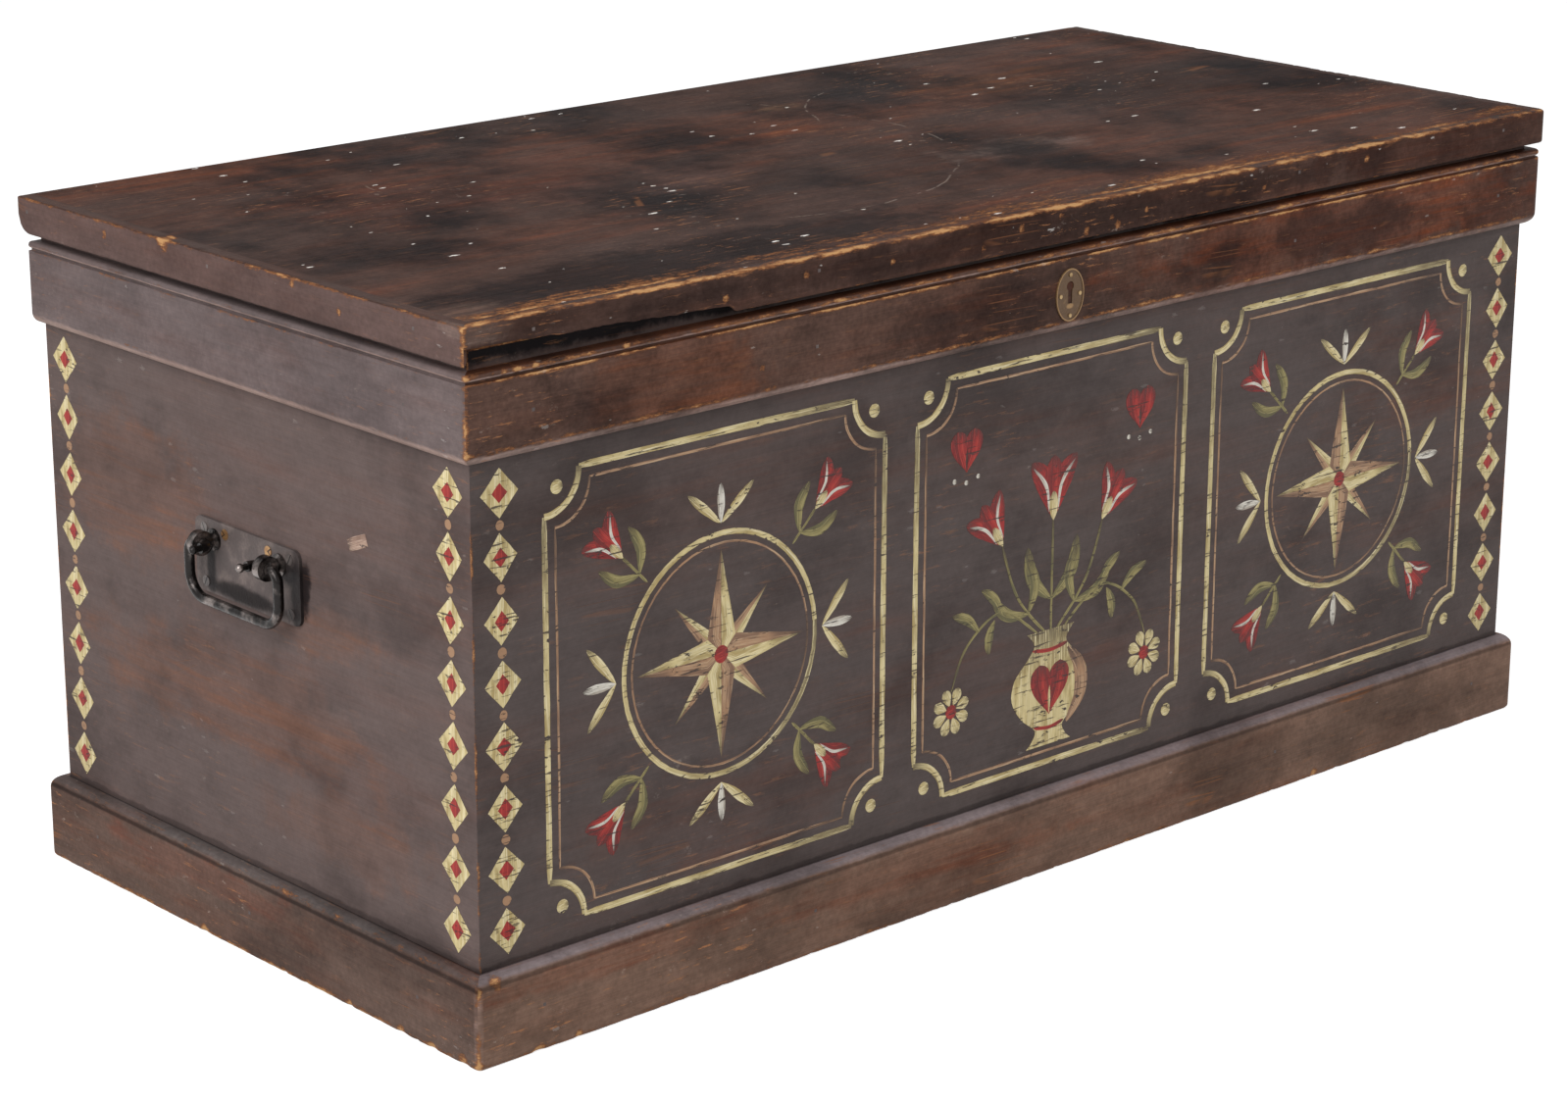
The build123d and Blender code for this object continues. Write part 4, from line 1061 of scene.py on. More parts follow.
# Painted sheen and shade: the plinth's front top is paler, where its gloss catches the light, and
# its end top darker
PLINTH_TOP_SHEEN = colour(122, 110, 111)
PLINTH_END_TOP_SHADE = colour(92, 84, 82)
# Painted light: the underside of the band is paler, as lit from the pale floor below
BAND_UNDER_LIGHT = colour(152, 130, 122)
BAND_TOP = colour(72, 44, 32)
BAND_MARKS = (
    ((330, -266, 456), (280, 30, 34), colour(116, 58, 32), 0.85),
    ((300, -266, 450), (110, 30, 30), BLACK_DIRT_AND_SHADE, 0.6),
    ((-60, -266, 450), (140, 30, 36), BLACK_DIRT_AND_SHADE, 0.35),
    ((520, -266, 450), (60, 30, 40), BLACK_DIRT_AND_SHADE, 0.4),
    ((-380, -266, 450), (90, 30, 40), colour(110, 62, 38), 0.6),
    # Painted light: a paler strip along the foot of the band, as lit from the floor below
    ((0, -264, 423), (900, 30, 5), colour(112, 96, 92), 0.55),
)
LIP_MARKS = (
    ((0, -267, 503), (420, 6, 16), BLACK_DIRT_AND_SHADE, 0.5),
    ((430, -267, 505), (160, 6, 24), colour(72, 42, 32), 0.8),
    ((-548, -267, 511), (34, 8, 10), colour(150, 130, 120), 0.5),
)
LIP_END_MARKS = (((-557, -262, 514), (8, 24, 8), colour(150, 130, 120), 0.6),)
PLINTH_MARKS = (
    ((-420, -268, 50), (150, 20, 12), colour(108, 62, 44), 0.8),
    ((-150, -268, 40), (180, 20, 18), colour(108, 62, 44), 0.6),
    ((300, -268, 30), (200, 20, 24), colour(84, 70, 62), 0.6),
    ((-557, -267, 34), (4.5, 4.5, 40), colour(176, 146, 134), 0.7),
    ((-558, 60, 46), (20, 140, 14), colour(112, 62, 46), 0.8),
)
LIP_LOOK = (0.7, 0.5, 0.12, 0.34, 0.9, 0.35)
END_LOOK = (0.35, 0.26, 0.08, 0.22, 0.5, 0.15)
BAND_LOOK = (1.0, 0.78, 0.16, 0.40, 0.8, 0.15)
PLINTH_LOOK = (0.9, 0.40, 0.11, 0.28, 1.25, 0.12)
LIP_SPECULAR = 0.02
# The end finishes are copies of the front ones with their own base browns, lighter on the lip and
# the band and darker on the plinth: painted light and shade for how the light falls on each side
LIP_FINISH = moulding_finish(
    "worn_lip", colour(72, 54, 48), LIP_LOOK, LIP_SPECULAR, LIP_MARKS, LID_BROWN
)
LIP_END_FINISH = moulding_finish(
    "worn_lip_end", colour(94, 76, 72), END_LOOK, LIP_SPECULAR, LIP_END_MARKS, LID_BROWN
)
BAND_FINISH = moulding_finish(
    "worn_band", colour(84, 63, 55), BAND_LOOK, PAINT_SPECULAR, BAND_MARKS, BAND_TOP, BAND_UNDER_LIGHT
)
BAND_END_FINISH = moulding_finish(
    "worn_band_end", colour(103, 91, 90), END_LOOK, PAINT_SPECULAR, (), None, BAND_UNDER_LIGHT
)
PLINTH_FINISH = moulding_finish(
    "worn_plinth", colour(116, 92, 79), PLINTH_LOOK, PAINT_SPECULAR, PLINTH_MARKS, PLINTH_TOP_SHEEN,
    shoulder=0.5,
)
PLINTH_END_FINISH = moulding_finish(
    "worn_plinth_end", colour(97, 79, 71), PLINTH_LOOK, PAINT_SPECULAR, PLINTH_MARKS,
    PLINTH_END_TOP_SHADE, shoulder=0.7,
)

# %% [markdown]
# The front lip has lost a long splinter from its foot, thickest at the near corner: the wood
# split along the grain when something caught it. The side lips are rounded off low at the
# back. Corners that people pass by are the most rounded.

# %% Worn corners and a splintered foot
# The splinter's line: place from the corner, height above the foot
SPLINTER = [
    (0, 12), (38, 11.2), (84, 9.4), (127, 8.8), (163, 6.6), (205, 5.4), (225.5, 4.5), (231.5, 0),
]
NEAR_ROUND, FAR_ROUND, BACK_ROUND = 3.2, 8.5, 5.0
BACK_FOOT_ROUND = 13.0


def splinter_rise(from_start, from_stop):
    """The height of the long splinter that has split off the foot of the front lip."""
    for (a, high_a), (b, high_b) in zip(SPLINTER, SPLINTER[1:]):
        if a <= from_start < b:
            level = high_a + (high_b - high_a) * (from_start - a) / (b - a)
            ragged = 0.8 * rough_at(from_start, 3.0, 9.0, 0.12)
            fade_out = min(1.0, (SPLINTER[-1][0] - from_start) / 20)
            return max(0.0, level + ragged * fade_out)
    return 0.0


def back_foot_rise(from_start, from_stop):
    """The rounded lower back corner of a side lip."""
    return drawn_in(from_stop, BACK_FOOT_ROUND)


def fit(piece, body, node, material):
    """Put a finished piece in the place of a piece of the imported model."""
    piece.data.materials.append(material)
    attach(piece, body)
    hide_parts(node)


CORNERS = {
    "front": (NEAR_ROUND, FAR_ROUND),
    "left": (NEAR_ROUND, BACK_ROUND),
    "right": (FAR_ROUND, BACK_ROUND),
    "back": (BACK_ROUND, BACK_ROUND),
}


def corners_of(side, back_end):
    """The two ends of a moulding that stops square at the back of the chest."""
    start, stop = CORNERS[side]
    return (start, stop if side == "front" else ("square", back_end))


# %% Lips, bands and plinths
LID_BACK_MM = in_mm("lid_lip_left", 1, 1)
for side in ("front", "left", "right"):
    on_front = side == "front"
    lip = moulding(
        f"worn_lip_{side}",
        side,
        lip_section,
        LIP_THICK,
        LIP_GAP,
        *corners_of(side, LID_BACK_MM),
        LIP_EDGES if on_front else LIP_END_EDGES,
        splinter_rise if on_front else back_foot_rise,
        1.0 if on_front else 0.55,
    )
    finish = LIP_FINISH if on_front else LIP_END_FINISH
    fit(lip, "lid", f"lid_lip_{side}", finish)
for side in ("front", "left", "right"):
    on_front = side == "front"
    band = moulding(
        f"worn_band_{side}",
        side,
        band_section,
        BAND_THICK,
        0.0,
        *corners_of(side, RIM_Y),
        BAND_EDGES,
        hard=1.0 if on_front else 0.35,
    )
    finish = BAND_FINISH if on_front else BAND_END_FINISH
    fit(band, "chest", f"band_{side}", finish)
for side, corners in CORNERS.items():
    on_end = side in ("left", "right")
    plinth = moulding(
        f"worn_plinth_{side}",
        side,
        plinth_section,
        PLINTH_THICK,
        0.0,
        *corners,
        PLINTH_EDGES,
        hard=1.0 if on_end else 0.55,
    )
    finish = PLINTH_END_FINISH if on_end else PLINTH_FINISH
    fit(plinth, "chest", f"plinth_{side}", finish)

# %% [markdown]
# ## Folk painting on the front
#
# The design is laid on as a folk painter does it, stroke by stroke: every petal, stem, leaf
# and line is one ribbon of paint, widest where the brush was pressed. Each ribbon is a thin
# closed solid that stands a little proud of the board. It carries its own coordinates, along
# and across the stroke, so that the marks of the bristles follow it.

# %% A ribbon of paint
PAINT_SUNK = 0.10        # millimetres below the face of the board
PAINT_PROUD = 0.07       # and above it
NEXT_COAT = 0.0006       # each stroke lies so much above the one before
THINNEST = 0.15
WOBBLE = random.Random(11)
paintwork = {}
strokes_laid = 0


def on_board(face, u, v, proud):
    """A point on an outer face of the box, by its place along and up, in millimetres."""
    if face == "front":
        return (u * MM, (-RIM_Y - proud) * MM, v * MM)
    side = -1 if face == "left" else 1
    return (side * (RIM_X + proud) * MM, u * MM, v * MM)


def ribbon(face, paint, centre, halves):
    """One brush stroke along a line of points, with its half width at each."""
    global strokes_laid
    strokes_laid += 1
    coat = paintwork.setdefault((face, paint), {"verts": [], "faces": [], "along": []})
    verts, faces, along = coat["verts"], coat["faces"], coat["along"]
    start, count = len(verts), len(centre)
    proud = PAINT_PROUD + NEXT_COAT * strokes_laid
    total = sum(math.dist(a, b) for a, b in zip(centre, centre[1:])) or 1.0
    gone, seed = 0.0, WOBBLE.uniform(0, 50)
    for n, (point, half) in enumerate(zip(centre, halves)):
        before, after = Vector(centre[max(n - 1, 0)]), Vector(centre[min(n + 1, count - 1)])
        run = (after - before).normalized()
        side = Vector((-run.y, run.x))
        if n:
            gone += math.dist(centre[n - 1], point)
        for sign in (1, -1):
            wander = 0.35 * noise.noise(Vector((gone * 0.11, sign * 4.0, seed)))
            wander += 0.16 * noise.noise(Vector((gone * 0.5, sign * 4.0, seed)))
            reach = half + wander * min(1.0, half)
            edge = Vector(point) + side * sign * reach
            for depth in (proud, -PAINT_SUNK):
                verts.append(on_board(face, edge.x, edge.y, depth))
                along.append((gone * MM, sign * half * MM, gone / total))
    for n in range(count - 1):
        a, b = start + 4 * n, start + 4 * (n + 1)
        faces += [(a, a + 2, b + 2, b), (a + 1, b + 1, b + 3, a + 3)]
        faces += [(a, b, b + 1, a + 1), (a + 2, a + 3, b + 3, b + 2)]
    last = start + 4 * (count - 1)
    faces += [(start, start + 1, start + 3, start + 2), (last, last + 2, last + 3, last + 1)]


def bent(points, steps=6):
    """A smooth line through a few points."""
    ends = [points[0], *points, points[-1]]
    out = []
    for a, b, c, d in zip(ends, ends[1:], ends[2:], ends[3:]):
        for step in range(steps):
            t = step / steps
            out.append(
                tuple(
                    0.5 * (2 * q + (r - p) * t + (2 * p - 5 * q + 4 * r - s) * t**2
                           + (3 * q - p - 3 * r + s) * t**3)
                    for p, q, r, s in zip(a, b, c, d)
                )
            )
    return out + [tuple(points[-1])]


def petal(face, paint, root, tip, half, bow=0.0, belly=0.55):
    """A petal or leaf from its root to its tip, bowed to one side, widest at its belly."""
    a, b = Vector(root), Vector(tip)
    side = Vector((a.y - b.y, b.x - a.x)) * bow
    centre = bent([a, (a + b) / 2 + side, b], 7)
    last = len(centre) - 1
    power = math.log(0.5) / math.log(belly)
    swell = [math.sin(math.pi * (n / last) ** power) ** 0.8 for n in range(last + 1)]
    ribbon(face, paint, centre, [max(THINNEST, half * share) for share in swell])


def line(face, paint, points, half, taper=0.25):
    """A line of nearly even width, thin at both ends."""
    centre = bent(points, 8)
    last = len(centre) - 1
    ends = [min(taper + 6 * n / last, taper + 6 * (last - n) / last) for n in range(last + 1)]
    ribbon(face, paint, centre, [half * min(1.0, share) for share in ends])


def around(middle, turn, reach):
    """A point at so many degrees round a middle, so far out."""
    angle = math.radians(turn)
    return (middle[0] + reach * math.cos(angle), middle[1] + reach * math.sin(angle))


def circle_line(face, paint, centre, radius, half, start=0.0, stop=360.0):
    """A line round a circle, or part of one."""
    steps = max(8, round(abs(stop - start) / 7))
    turns = [start + (stop - start) * n / steps for n in range(steps + 1)]
    points = [around(centre, turn, radius) for turn in turns]
    ribbon(face, paint, points, [half] * len(points))


def dab(face, paint, centre, radius):
    """A round dab of the brush."""
    steps = 8
    xs = [radius * math.cos(math.pi * n / steps) for n in range(steps, -1, -1)]
    points = [(centre[0] + x, centre[1] + 0.06 * x) for x in xs]
    halves = [math.sqrt(max(0.0, radius**2 - x**2)) for x in xs]
    ribbon(face, paint, points, [max(0.2, half) for half in halves])


def wedge(face, paint, root, tip, corner):
    """A three-cornered field, filled with one stroke from its root to its tip."""
    a, b, c = Vector(root), Vector(tip), Vector(corner)
    run = (b - a).normalized()
    side = Vector((-run.y, run.x))
    peak = (c - a).dot(run) / (b - a).length
    far = (c - a).dot(side)
    stations = [0.0, peak * 0.5, peak]
    stations += [peak + (1 - peak) * share for share in (0.25, 0.5, 0.75)] + [1.0]
    centre, halves = [], []
    for t in stations:
        width = far * (t / peak if t <= peak else (1 - t) / (1 - peak))
        centre.append(tuple(a.lerp(b, t) + side * width / 2))
        halves.append(max(0.12, abs(width) / 2))
    ribbon(face, paint, centre, halves)


# %% [markdown]
# The motifs are the usual ones of painted chests: tulips on bowed stems, a compass star, hearts
# and notched panels. Each shape takes as few strokes as it needs: three petals and two
# highlights for a tulip, two fat petals for a heart.


# %% Motifs: tulips, stars, hearts and panels
def compass(turn):
    """The direction at so many degrees, as a vector."""
    return Vector((math.cos(math.radians(turn)), math.sin(math.radians(turn))))


def tulip(face, root, angle, length, size, paint="crimson", bend=0.0):
    """A tulip on a stem with two leaves, growing from its root at an angle."""
    up = compass(angle)
    side = Vector((-up.y, up.x))
    foot = Vector(root)
    head = foot + up * length
    middle = foot + up * length / 2 + side * bend

    def from_head(along, aside):
        return head + up * size * along + side * aside

    line(face, "sage", [foot, middle, head], 1.1)
    for way in (-1, 1):
        start = foot + up * length * 0.30 + side * bend * 0.8
        leaf = start + up * size * 0.95 + side * way * size * 0.55
        petal(face, "sage", start, leaf, size * 0.13, 0.16 * way)
        tip = from_head(0.95, way * size * 0.50)
        petal(face, paint, head, tip, size * 0.20, -0.10 * way)
    petal(face, paint, head, head + up * size, size * 0.22)
    for way in (-1, 1):
        low, high = from_head(0.10, way * size * 0.10), from_head(0.86, way * size * 0.46)
        petal(face, "white", low, high, size * 0.035, -0.14 * way)
    petal(face, "cream", head - up * size * 0.05, head + up * size * 0.42, size * 0.10)


def star(face, centre, far, near, paints):
    """A compass star of four long and four short points, each half light and half dark."""
    middle = Vector(centre)
    for reach, first in ((near, 45), (far, 0)):
        spread, waist = (22.5, reach * 0.30) if reach == near else (45, reach * 0.30 * 0.80)
        for point in range(4):
            turn = first + 90 * point
            tip = middle + compass(turn) * reach
            for way, paint in ((-1, paints[0]), (1, paints[1])):
                wedge(face, paint, middle, tip, middle + compass(turn + way * spread) * waist)
    dab(face, "crimson", centre, far * 0.085)


def heart(face, paint, foot, size):
    """A heart of two fat petals that share a foot."""
    x, z = foot
    for way in (-1, 1):
        tip = (x + way * 0.25 * size, z + 0.94 * size)
        petal(face, paint, foot, tip, size * 0.245, -0.07 * way, 0.70)


def panel(face, left, right, low, high, notch):
    """A panel outlined in cream, its corners notched, with a fine tan line inside."""
    for inset, paint, half, cut in ((0, "cream", 2.4, notch), (9, "tan", 1.0, notch)):
        a, b, c, d = left + inset, right - inset, low + inset, high - inset
        for v in (c, d):
            middle = ((a + b) / 2, v + WOBBLE.uniform(-0.5, 0.5))
            line(face, paint, [(a + cut, v), middle, (b - cut, v)], half, 0.6)
        for u in (a, b):
            middle = (u + WOBBLE.uniform(-0.5, 0.5), (c + d) / 2)
            line(face, paint, [(u, c + cut), middle, (u, d - cut)], half, 0.6)
        for u, v, start in ((a, c, 0), (b, c, 90), (b, d, 180), (a, d, 270)):
            circle_line(face, paint, (u, v), cut, half, start, start + 90)
    for u, v in ((left, low), (right, low), (right, high), (left, high)):
        away = (1 if u == left else -1, 1 if v == low else -1)
        dab(face, "cream", (u + away[0] * notch * 0.36, v + away[1] * notch * 0.36), notch * 0.17)


# %% [markdown]
# The front has two wide panels with a star in each, and a narrow one between them with a vase
# of tulips, two roundels and three hearts. The panels are outlined first, then filled from
# the middle outward, as they would be with a compass and a straight edge.

# %% Paint the side panels
PANEL_LOW, PANEL_HIGH, NOTCH = 84.0, 404.0, 30.0
SIDE_PANELS = ((-484.0, -174.0), (174.0, 484.0))
CENTRE_PANEL = (-142.0, 142.0)
for left, right in SIDE_PANELS:
    panel("front", left, right, PANEL_LOW, PANEL_HIGH, NOTCH)
    middle = ((left + right) / 2, (PANEL_LOW + PANEL_HIGH) / 2)
    circle_line("front", "cream", middle, 88, 2.0, 4, 364)
    circle_line("front", "tan", middle, 81, 0.8, 10, 370)
    star("front", middle, 76, 60, ("cream", "tan"))
    for turn in (45, 135, 225, 315):
        tulip("front", around(middle, turn, 94), turn, 32, 34)
    for turn in (0, 90, 180, 270):
        for way in (-1, 0, 1):
            root, tip = around(middle, turn, 95), around(middle, turn + way * 14, 124)
            petal("front", "cream" if way else "white", root, tip, 3.4)

# %% Paint the centre panel
# The vase: height, half width
VASE = [
    (98, 24), (103, 18), (112, 15), (124, 30), (140, 40), (156, 38), (170, 24), (180, 17),
    (190, 25),
]
panel("front", *CENTRE_PANEL, PANEL_LOW, PANEL_HIGH, NOTCH)
for turn, reach, size, bend in ((90, 92, 48, 0), (58, 96, 40, -9), (122, 96, 40, 9)):
    root = (6 * math.cos(math.radians(turn)), 186)
    tulip("front", root, turn, reach, size, bend=bend)
for way in (-1, 1):
    stem = [(way * x, z) for x, z in ((10, 186), (52, 214), (88, 196), (104, 164))]
    line("front", "sage", stem, 1.1)
    for root, tip in (((52, 212), (74, 236)), ((76, 204), (104, 222)), ((60, 210), (66, 184))):
        petal("front", "sage", (way * root[0], root[1]), (way * tip[0], tip[1]), 4.2, 0.1 * way)
    middle = (way * 104, 148)
    for n in range(8):
        turn = 45 * n + 20
        root, tip = around(middle, turn, 5), around(middle, turn, 19)
        petal("front", "cream", root, tip, 4.6, 0.0, 0.62)
    dab("front", "crimson", middle, 5.5)
    heart("front", "crimson", (way * 92, 330), 34)
    for n in range(3):
        dab("front", "white", (way * (92 + (n - 1) * 12), 322 + 3 * abs(n - 1)), 1.9)
vase_centre = bent([(0.0, float(z)) for z, _ in VASE], 4)
vase_halves = [half for (half,) in bent([(float(h),) for _, h in VASE], 4)]
ribbon("front", "cream", vase_centre, vase_halves)
vase_shade = bent([(19, 112), (33, 132), (32, 154), (19, 172)], 6)
last = len(vase_shade) - 1
shade_halves = [1 + 6 * math.sin(math.pi * n / last) for n in range(last + 1)]
ribbon("front", "tan", vase_shade, shade_halves)
heart("front", "crimson", (0, 122), 44)
for z, half in ((114, 16), (176, 19)):
    line("front", "crimson", [(-half, z), (0, z - 2.5), (half, z)], 1.5)
# A scrap of pale paint left on the left end
ribbon("left", "putty", [(-139.8, 344.1), (-129.3, 340.2), (-118.9, 335.7)], [4.4, 4.7, 4.4])
print("brush strokes:", strokes_laid)


# %% [markdown]
# The painter's colours were thick and a little dry, so the bristles left furrows along each
# stroke and the paint ran thin at its end. It has cracked along the grain of the board
# underneath and flaked off in places, and shows the brown there.


# %% Paints
def chips(tree, place, face_axis):
    """Where old paint has cracked and flaked along the grain of the board."""
    parts = split(tree, place)
    grain = join(tree, parts[face_axis], parts[2])
    cracks = fade(tree, cloud(tree, grain, (30, 420, 1), 4.0, 0.62), 0.595, 0.63)
    flakes = fade(tree, cloud(tree, grain, (90, 190, 1), 5.0, 0.66, (5, 3, 0)), 0.600, 0.625)
    region = fade(tree, cloud(tree, place, (9, 9, 9), 3.0), 0.36, 0.58)
    return larger(tree, times(tree, cracks, 0.9), times(tree, flakes, region))


UNDER_PAINT = colour(52, 40, 36)


def brush_paint(name, main, shaded, light, axis=0):
    """Thick old paint with bristle marks, thinning out at the end of its stroke."""
    material, tree, shader = new_finish(name, 0.3)
    place = place_of(tree)
    stroke = put(tree, "ShaderNodeAttribute", attribute_name="stroke").outputs["Vector"]
    parts = split(tree, stroke)
    bristles = cloud(tree, stroke, (26, 1100, 1.5), 3.0, 0.6)
    sweep = cloud(tree, stroke, (40, 160, 1), 3.0, 0.6, (1, 2, 3))
    age = cloud(tree, place, (24, 24, 24), 4.0, 0.6)
    paint = tint(tree, fade(tree, sweep, 0.40, 0.66), main, shaded)
    paint = tint(tree, fade(tree, bristles, 0.50, 0.72), paint, light)
    paint = shade(tree, paint, between(tree, age, 0.74, 1.16))
    dry = times(tree, fade(tree, parts[2], 0.55, 1.05), fade(tree, bristles, 0.62, 0.44))
    gone = larger(tree, chips(tree, place, axis), times(tree, dry, 0.8))
    paint = tint(tree, gone, paint, UNDER_PAINT)
    height = minus(tree, bristles, times(tree, gone, 1.2))
    lay(tree, shader, paint, between(tree, bristles, 0.45, 0.62), height, 0.0003)
    return material


# Main tone, shaded tone and light tone of each paint
PAINTS = {
    "cream": (colour(205, 188, 138), colour(168, 148, 98), colour(226, 214, 176)),
    "white": (colour(206, 200, 188), colour(164, 154, 140), colour(226, 222, 212)),
    "tan": (colour(158, 122, 92), colour(122, 92, 72), colour(190, 160, 128)),
    "crimson": (colour(146, 34, 32), colour(104, 22, 22), colour(176, 62, 52)),
    "putty": (colour(160, 132, 114), colour(128, 100, 86), colour(186, 160, 144)),
    "sage": (colour(126, 116, 72), colour(92, 86, 56), colour(160, 148, 100)),
}


# %% Lay the paints on
PAINT_ON = {
    (name, axis): brush_paint(f"{name}_paint_{where}", *tones, axis)
    for name, tones in PAINTS.items()
    for axis, where in ((0, "front"), (1, "end"))
}
for (face, paint), coat in paintwork.items():
    mesh = bpy.data.meshes.new(f"{face}_{paint}_paint")
    mesh.from_pydata(coat["verts"], [], coat["faces"])
    write_vectors(mesh, "stroke", coat["along"])
    outward_faces(mesh, 30)
    layer = stand(mesh.name, mesh)
    mesh.materials.append(PAINT_ON[paint, 0 if face == "front" else 1])
    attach(layer, "chest")
    print(layer.name, "faces", len(mesh.polygons))

# %% [markdown]
# ## Chains up the corners
#
# A chain of lozenges and beads runs up the front and the ends beside each corner. It repeats,
# so it is grown with Geometry Nodes: a line of points, one lozenge with a smaller one on it at
# each, a bead between, every one turned and sized a little differently, and the edges moved by
# a little noise as a hand would.


# %% Building a tree of geometry nodes
def new_growth(name, sizes):
    """An empty tree with named inputs. Gives the tree, its start, and each input's identifier."""
    tree = bpy.data.node_groups.new(name, "GeometryNodeTree")
    tree.interface.new_socket("Geometry", in_out="INPUT", socket_type="NodeSocketGeometry")
    known = {}
    for label, kind in sizes.items():
        socket = tree.interface.new_socket(label, in_out="INPUT", socket_type=f"NodeSocket{kind}")
        known[label] = socket.identifier
    tree.interface.new_socket("Geometry", in_out="OUTPUT", socket_type="NodeSocketGeometry")
    return tree, tree.nodes.new("NodeGroupInput").outputs, known


def harvest(name, tree, known, values, seedbed):
    """Run a tree with its values set by identifier, and keep the result as a plain mesh."""
    bed = stand(name + "_bed", seedbed)
    modifier = bed.modifiers.new("growth", "NODES")
    modifier.node_group = tree
    for label, value in values.items():
        modifier[known[label]] = value
    bpy.context.view_layer.update()
    grown = bed.evaluated_get(bpy.context.evaluated_depsgraph_get())
    mesh = bpy.data.meshes.new_from_object(grown)
    mesh.name = name
    bpy.data.objects.remove(bed)
    print(name, "faces", len(mesh.polygons))
    return stand(name, mesh)


# %% The tree of the chain
def chain_tree():
    """Lozenges and beads up a line, lying in the XZ plane and facing -Y, then turned in place."""
    tree, given, known = new_growth(
        "corner_chain",
        {
            "Count": "Int",
            "Pitch": "Float",
            "Half Width": "Float",
            "Half Height": "Float",
            "Bead Radius": "Float",
            "Thickness": "Float",
            "Turn": "Float",
            "Place": "Vector",
            "Wobble": "Vector",
            "Lozenge Paint": "Material",
            "Inner Paint": "Material",
            "Bead Paint": "Material",
        },
    )

    def prism(share, lift, corners):
        """A thin prism: round for a bead, or drawn out to a lozenge of a share of full size."""
        disc = put(
            tree,
            "GeometryNodeMeshCylinder",
            {"Vertices": corners, "Radius": 1.0, "Depth": given["Thickness"]},
        ).outputs[0]
        x, y, z = split(tree, put(tree, "GeometryNodeInputPosition").outputs[0])
        if share:
            out = larger(tree, plus(tree, size_of(tree, x), size_of(tree, y)), 0.001)
            half_width = times(tree, given["Half Width"], share)
            half_height = times(tree, given["Half Height"], share)
            width = times(tree, calc(tree, "DIVIDE", x, out), half_width)
            height = times(tree, calc(tree, "DIVIDE", y, out), half_height)
        else:
            width = times(tree, x, given["Bead Radius"])
            height = times(tree, y, given["Bead Radius"])
        shaped = join(tree, width, height, plus(tree, z, lift))
        moved = put(tree, "GeometryNodeSetPosition", {"Geometry": disc, "Position": shaped})
        marks = join(tree, height, width, 0.3)
        stored = put(
            tree,
            "GeometryNodeStoreNamedAttribute",
            {"Geometry": moved.outputs[0], "Name": "stroke", "Value": marks},
            data_type="FLOAT_VECTOR",
        )
        upright = {"Geometry": stored.outputs[0], "Rotation": (math.pi / 2, 0.0, 0.0)}
        return put(tree, "GeometryNodeTransform", upright).outputs[0]

    def chance(low, high, seed):
        """A different vector for each point of a row."""
        inputs = {0: low, 1: high, "Seed": seed}
        kind = "FunctionNodeRandomValue"
        return put(tree, kind, inputs, data_type="FLOAT_VECTOR").outputs[0]

    up = join(tree, 0.0, 0.0, given["Pitch"])
    half_up = join(tree, 0.0, 0.0, times(tree, given["Pitch"], 0.5))
    fewer = minus(tree, given["Count"], 1)
    points = put(tree, "GeometryNodeMeshLine", {"Count": given["Count"], "Offset": up}).outputs[0]
    between_them = {"Count": fewer, "Start Location": half_up, "Offset": up}
    gaps = put(tree, "GeometryNodeMeshLine", between_them).outputs[0]
    joined = put(tree, "GeometryNodeJoinGeometry")
    # row, share of full size, lift, corners, paint, seed
    coats = (
        (points, 1.0, 0.0, 20, "Lozenge Paint", 1),
        (points, 0.42, 0.00003, 12, "Inner Paint", 2),
        (gaps, 0.0, 0.0, 12, "Bead Paint", 3),
    )
    for row, share, lift, corners, paint, seed in coats:
        inputs = {
            "Points": row,
            "Instance": prism(share, lift, corners),
            "Rotation": chance((0.0, -0.05, 0.0), (0.0, 0.05, 0.0), seed),
            "Scale": chance((0.92, 1.0, 0.92), (1.06, 1.0, 1.05), seed + 10),
        }
        laid = put(tree, "GeometryNodeInstanceOnPoints", inputs).outputs[0]
        real = put(tree, "GeometryNodeRealizeInstances", {0: laid}).outputs[0]
        inputs = {"Geometry": real, "Material": given[paint]}
        painted = put(tree, "GeometryNodeSetMaterial", inputs)
        tree.links.new(painted.outputs[0], joined.inputs[0])
    turn = join(tree, 0.0, 0.0, given["Turn"])
    inputs = {"Geometry": joined.outputs[0], "Rotation": turn, "Translation": given["Place"]}
    placed = put(tree, "GeometryNodeTransform", inputs).outputs[0]
    where = put(tree, "GeometryNodeInputPosition").outputs[0]
    stir = put(tree, "ShaderNodeTexNoise", {"Vector": where, "Scale": 180.0, "Detail": 2.0})
    inputs = {0: stir.outputs["Color"], 1: (0.5, 0.5, 0.5)}
    centred = put(tree, "ShaderNodeVectorMath", inputs, operation="SUBTRACT").outputs[0]
    inputs = {0: centred, 1: given["Wobble"]}
    shift = put(tree, "ShaderNodeVectorMath", inputs, operation="MULTIPLY").outputs[0]
    moved = put(tree, "GeometryNodeSetPosition", {"Geometry": placed, "Offset": shift}).outputs[0]
    put(tree, "NodeGroupOutput", {0: moved})
    return tree, known


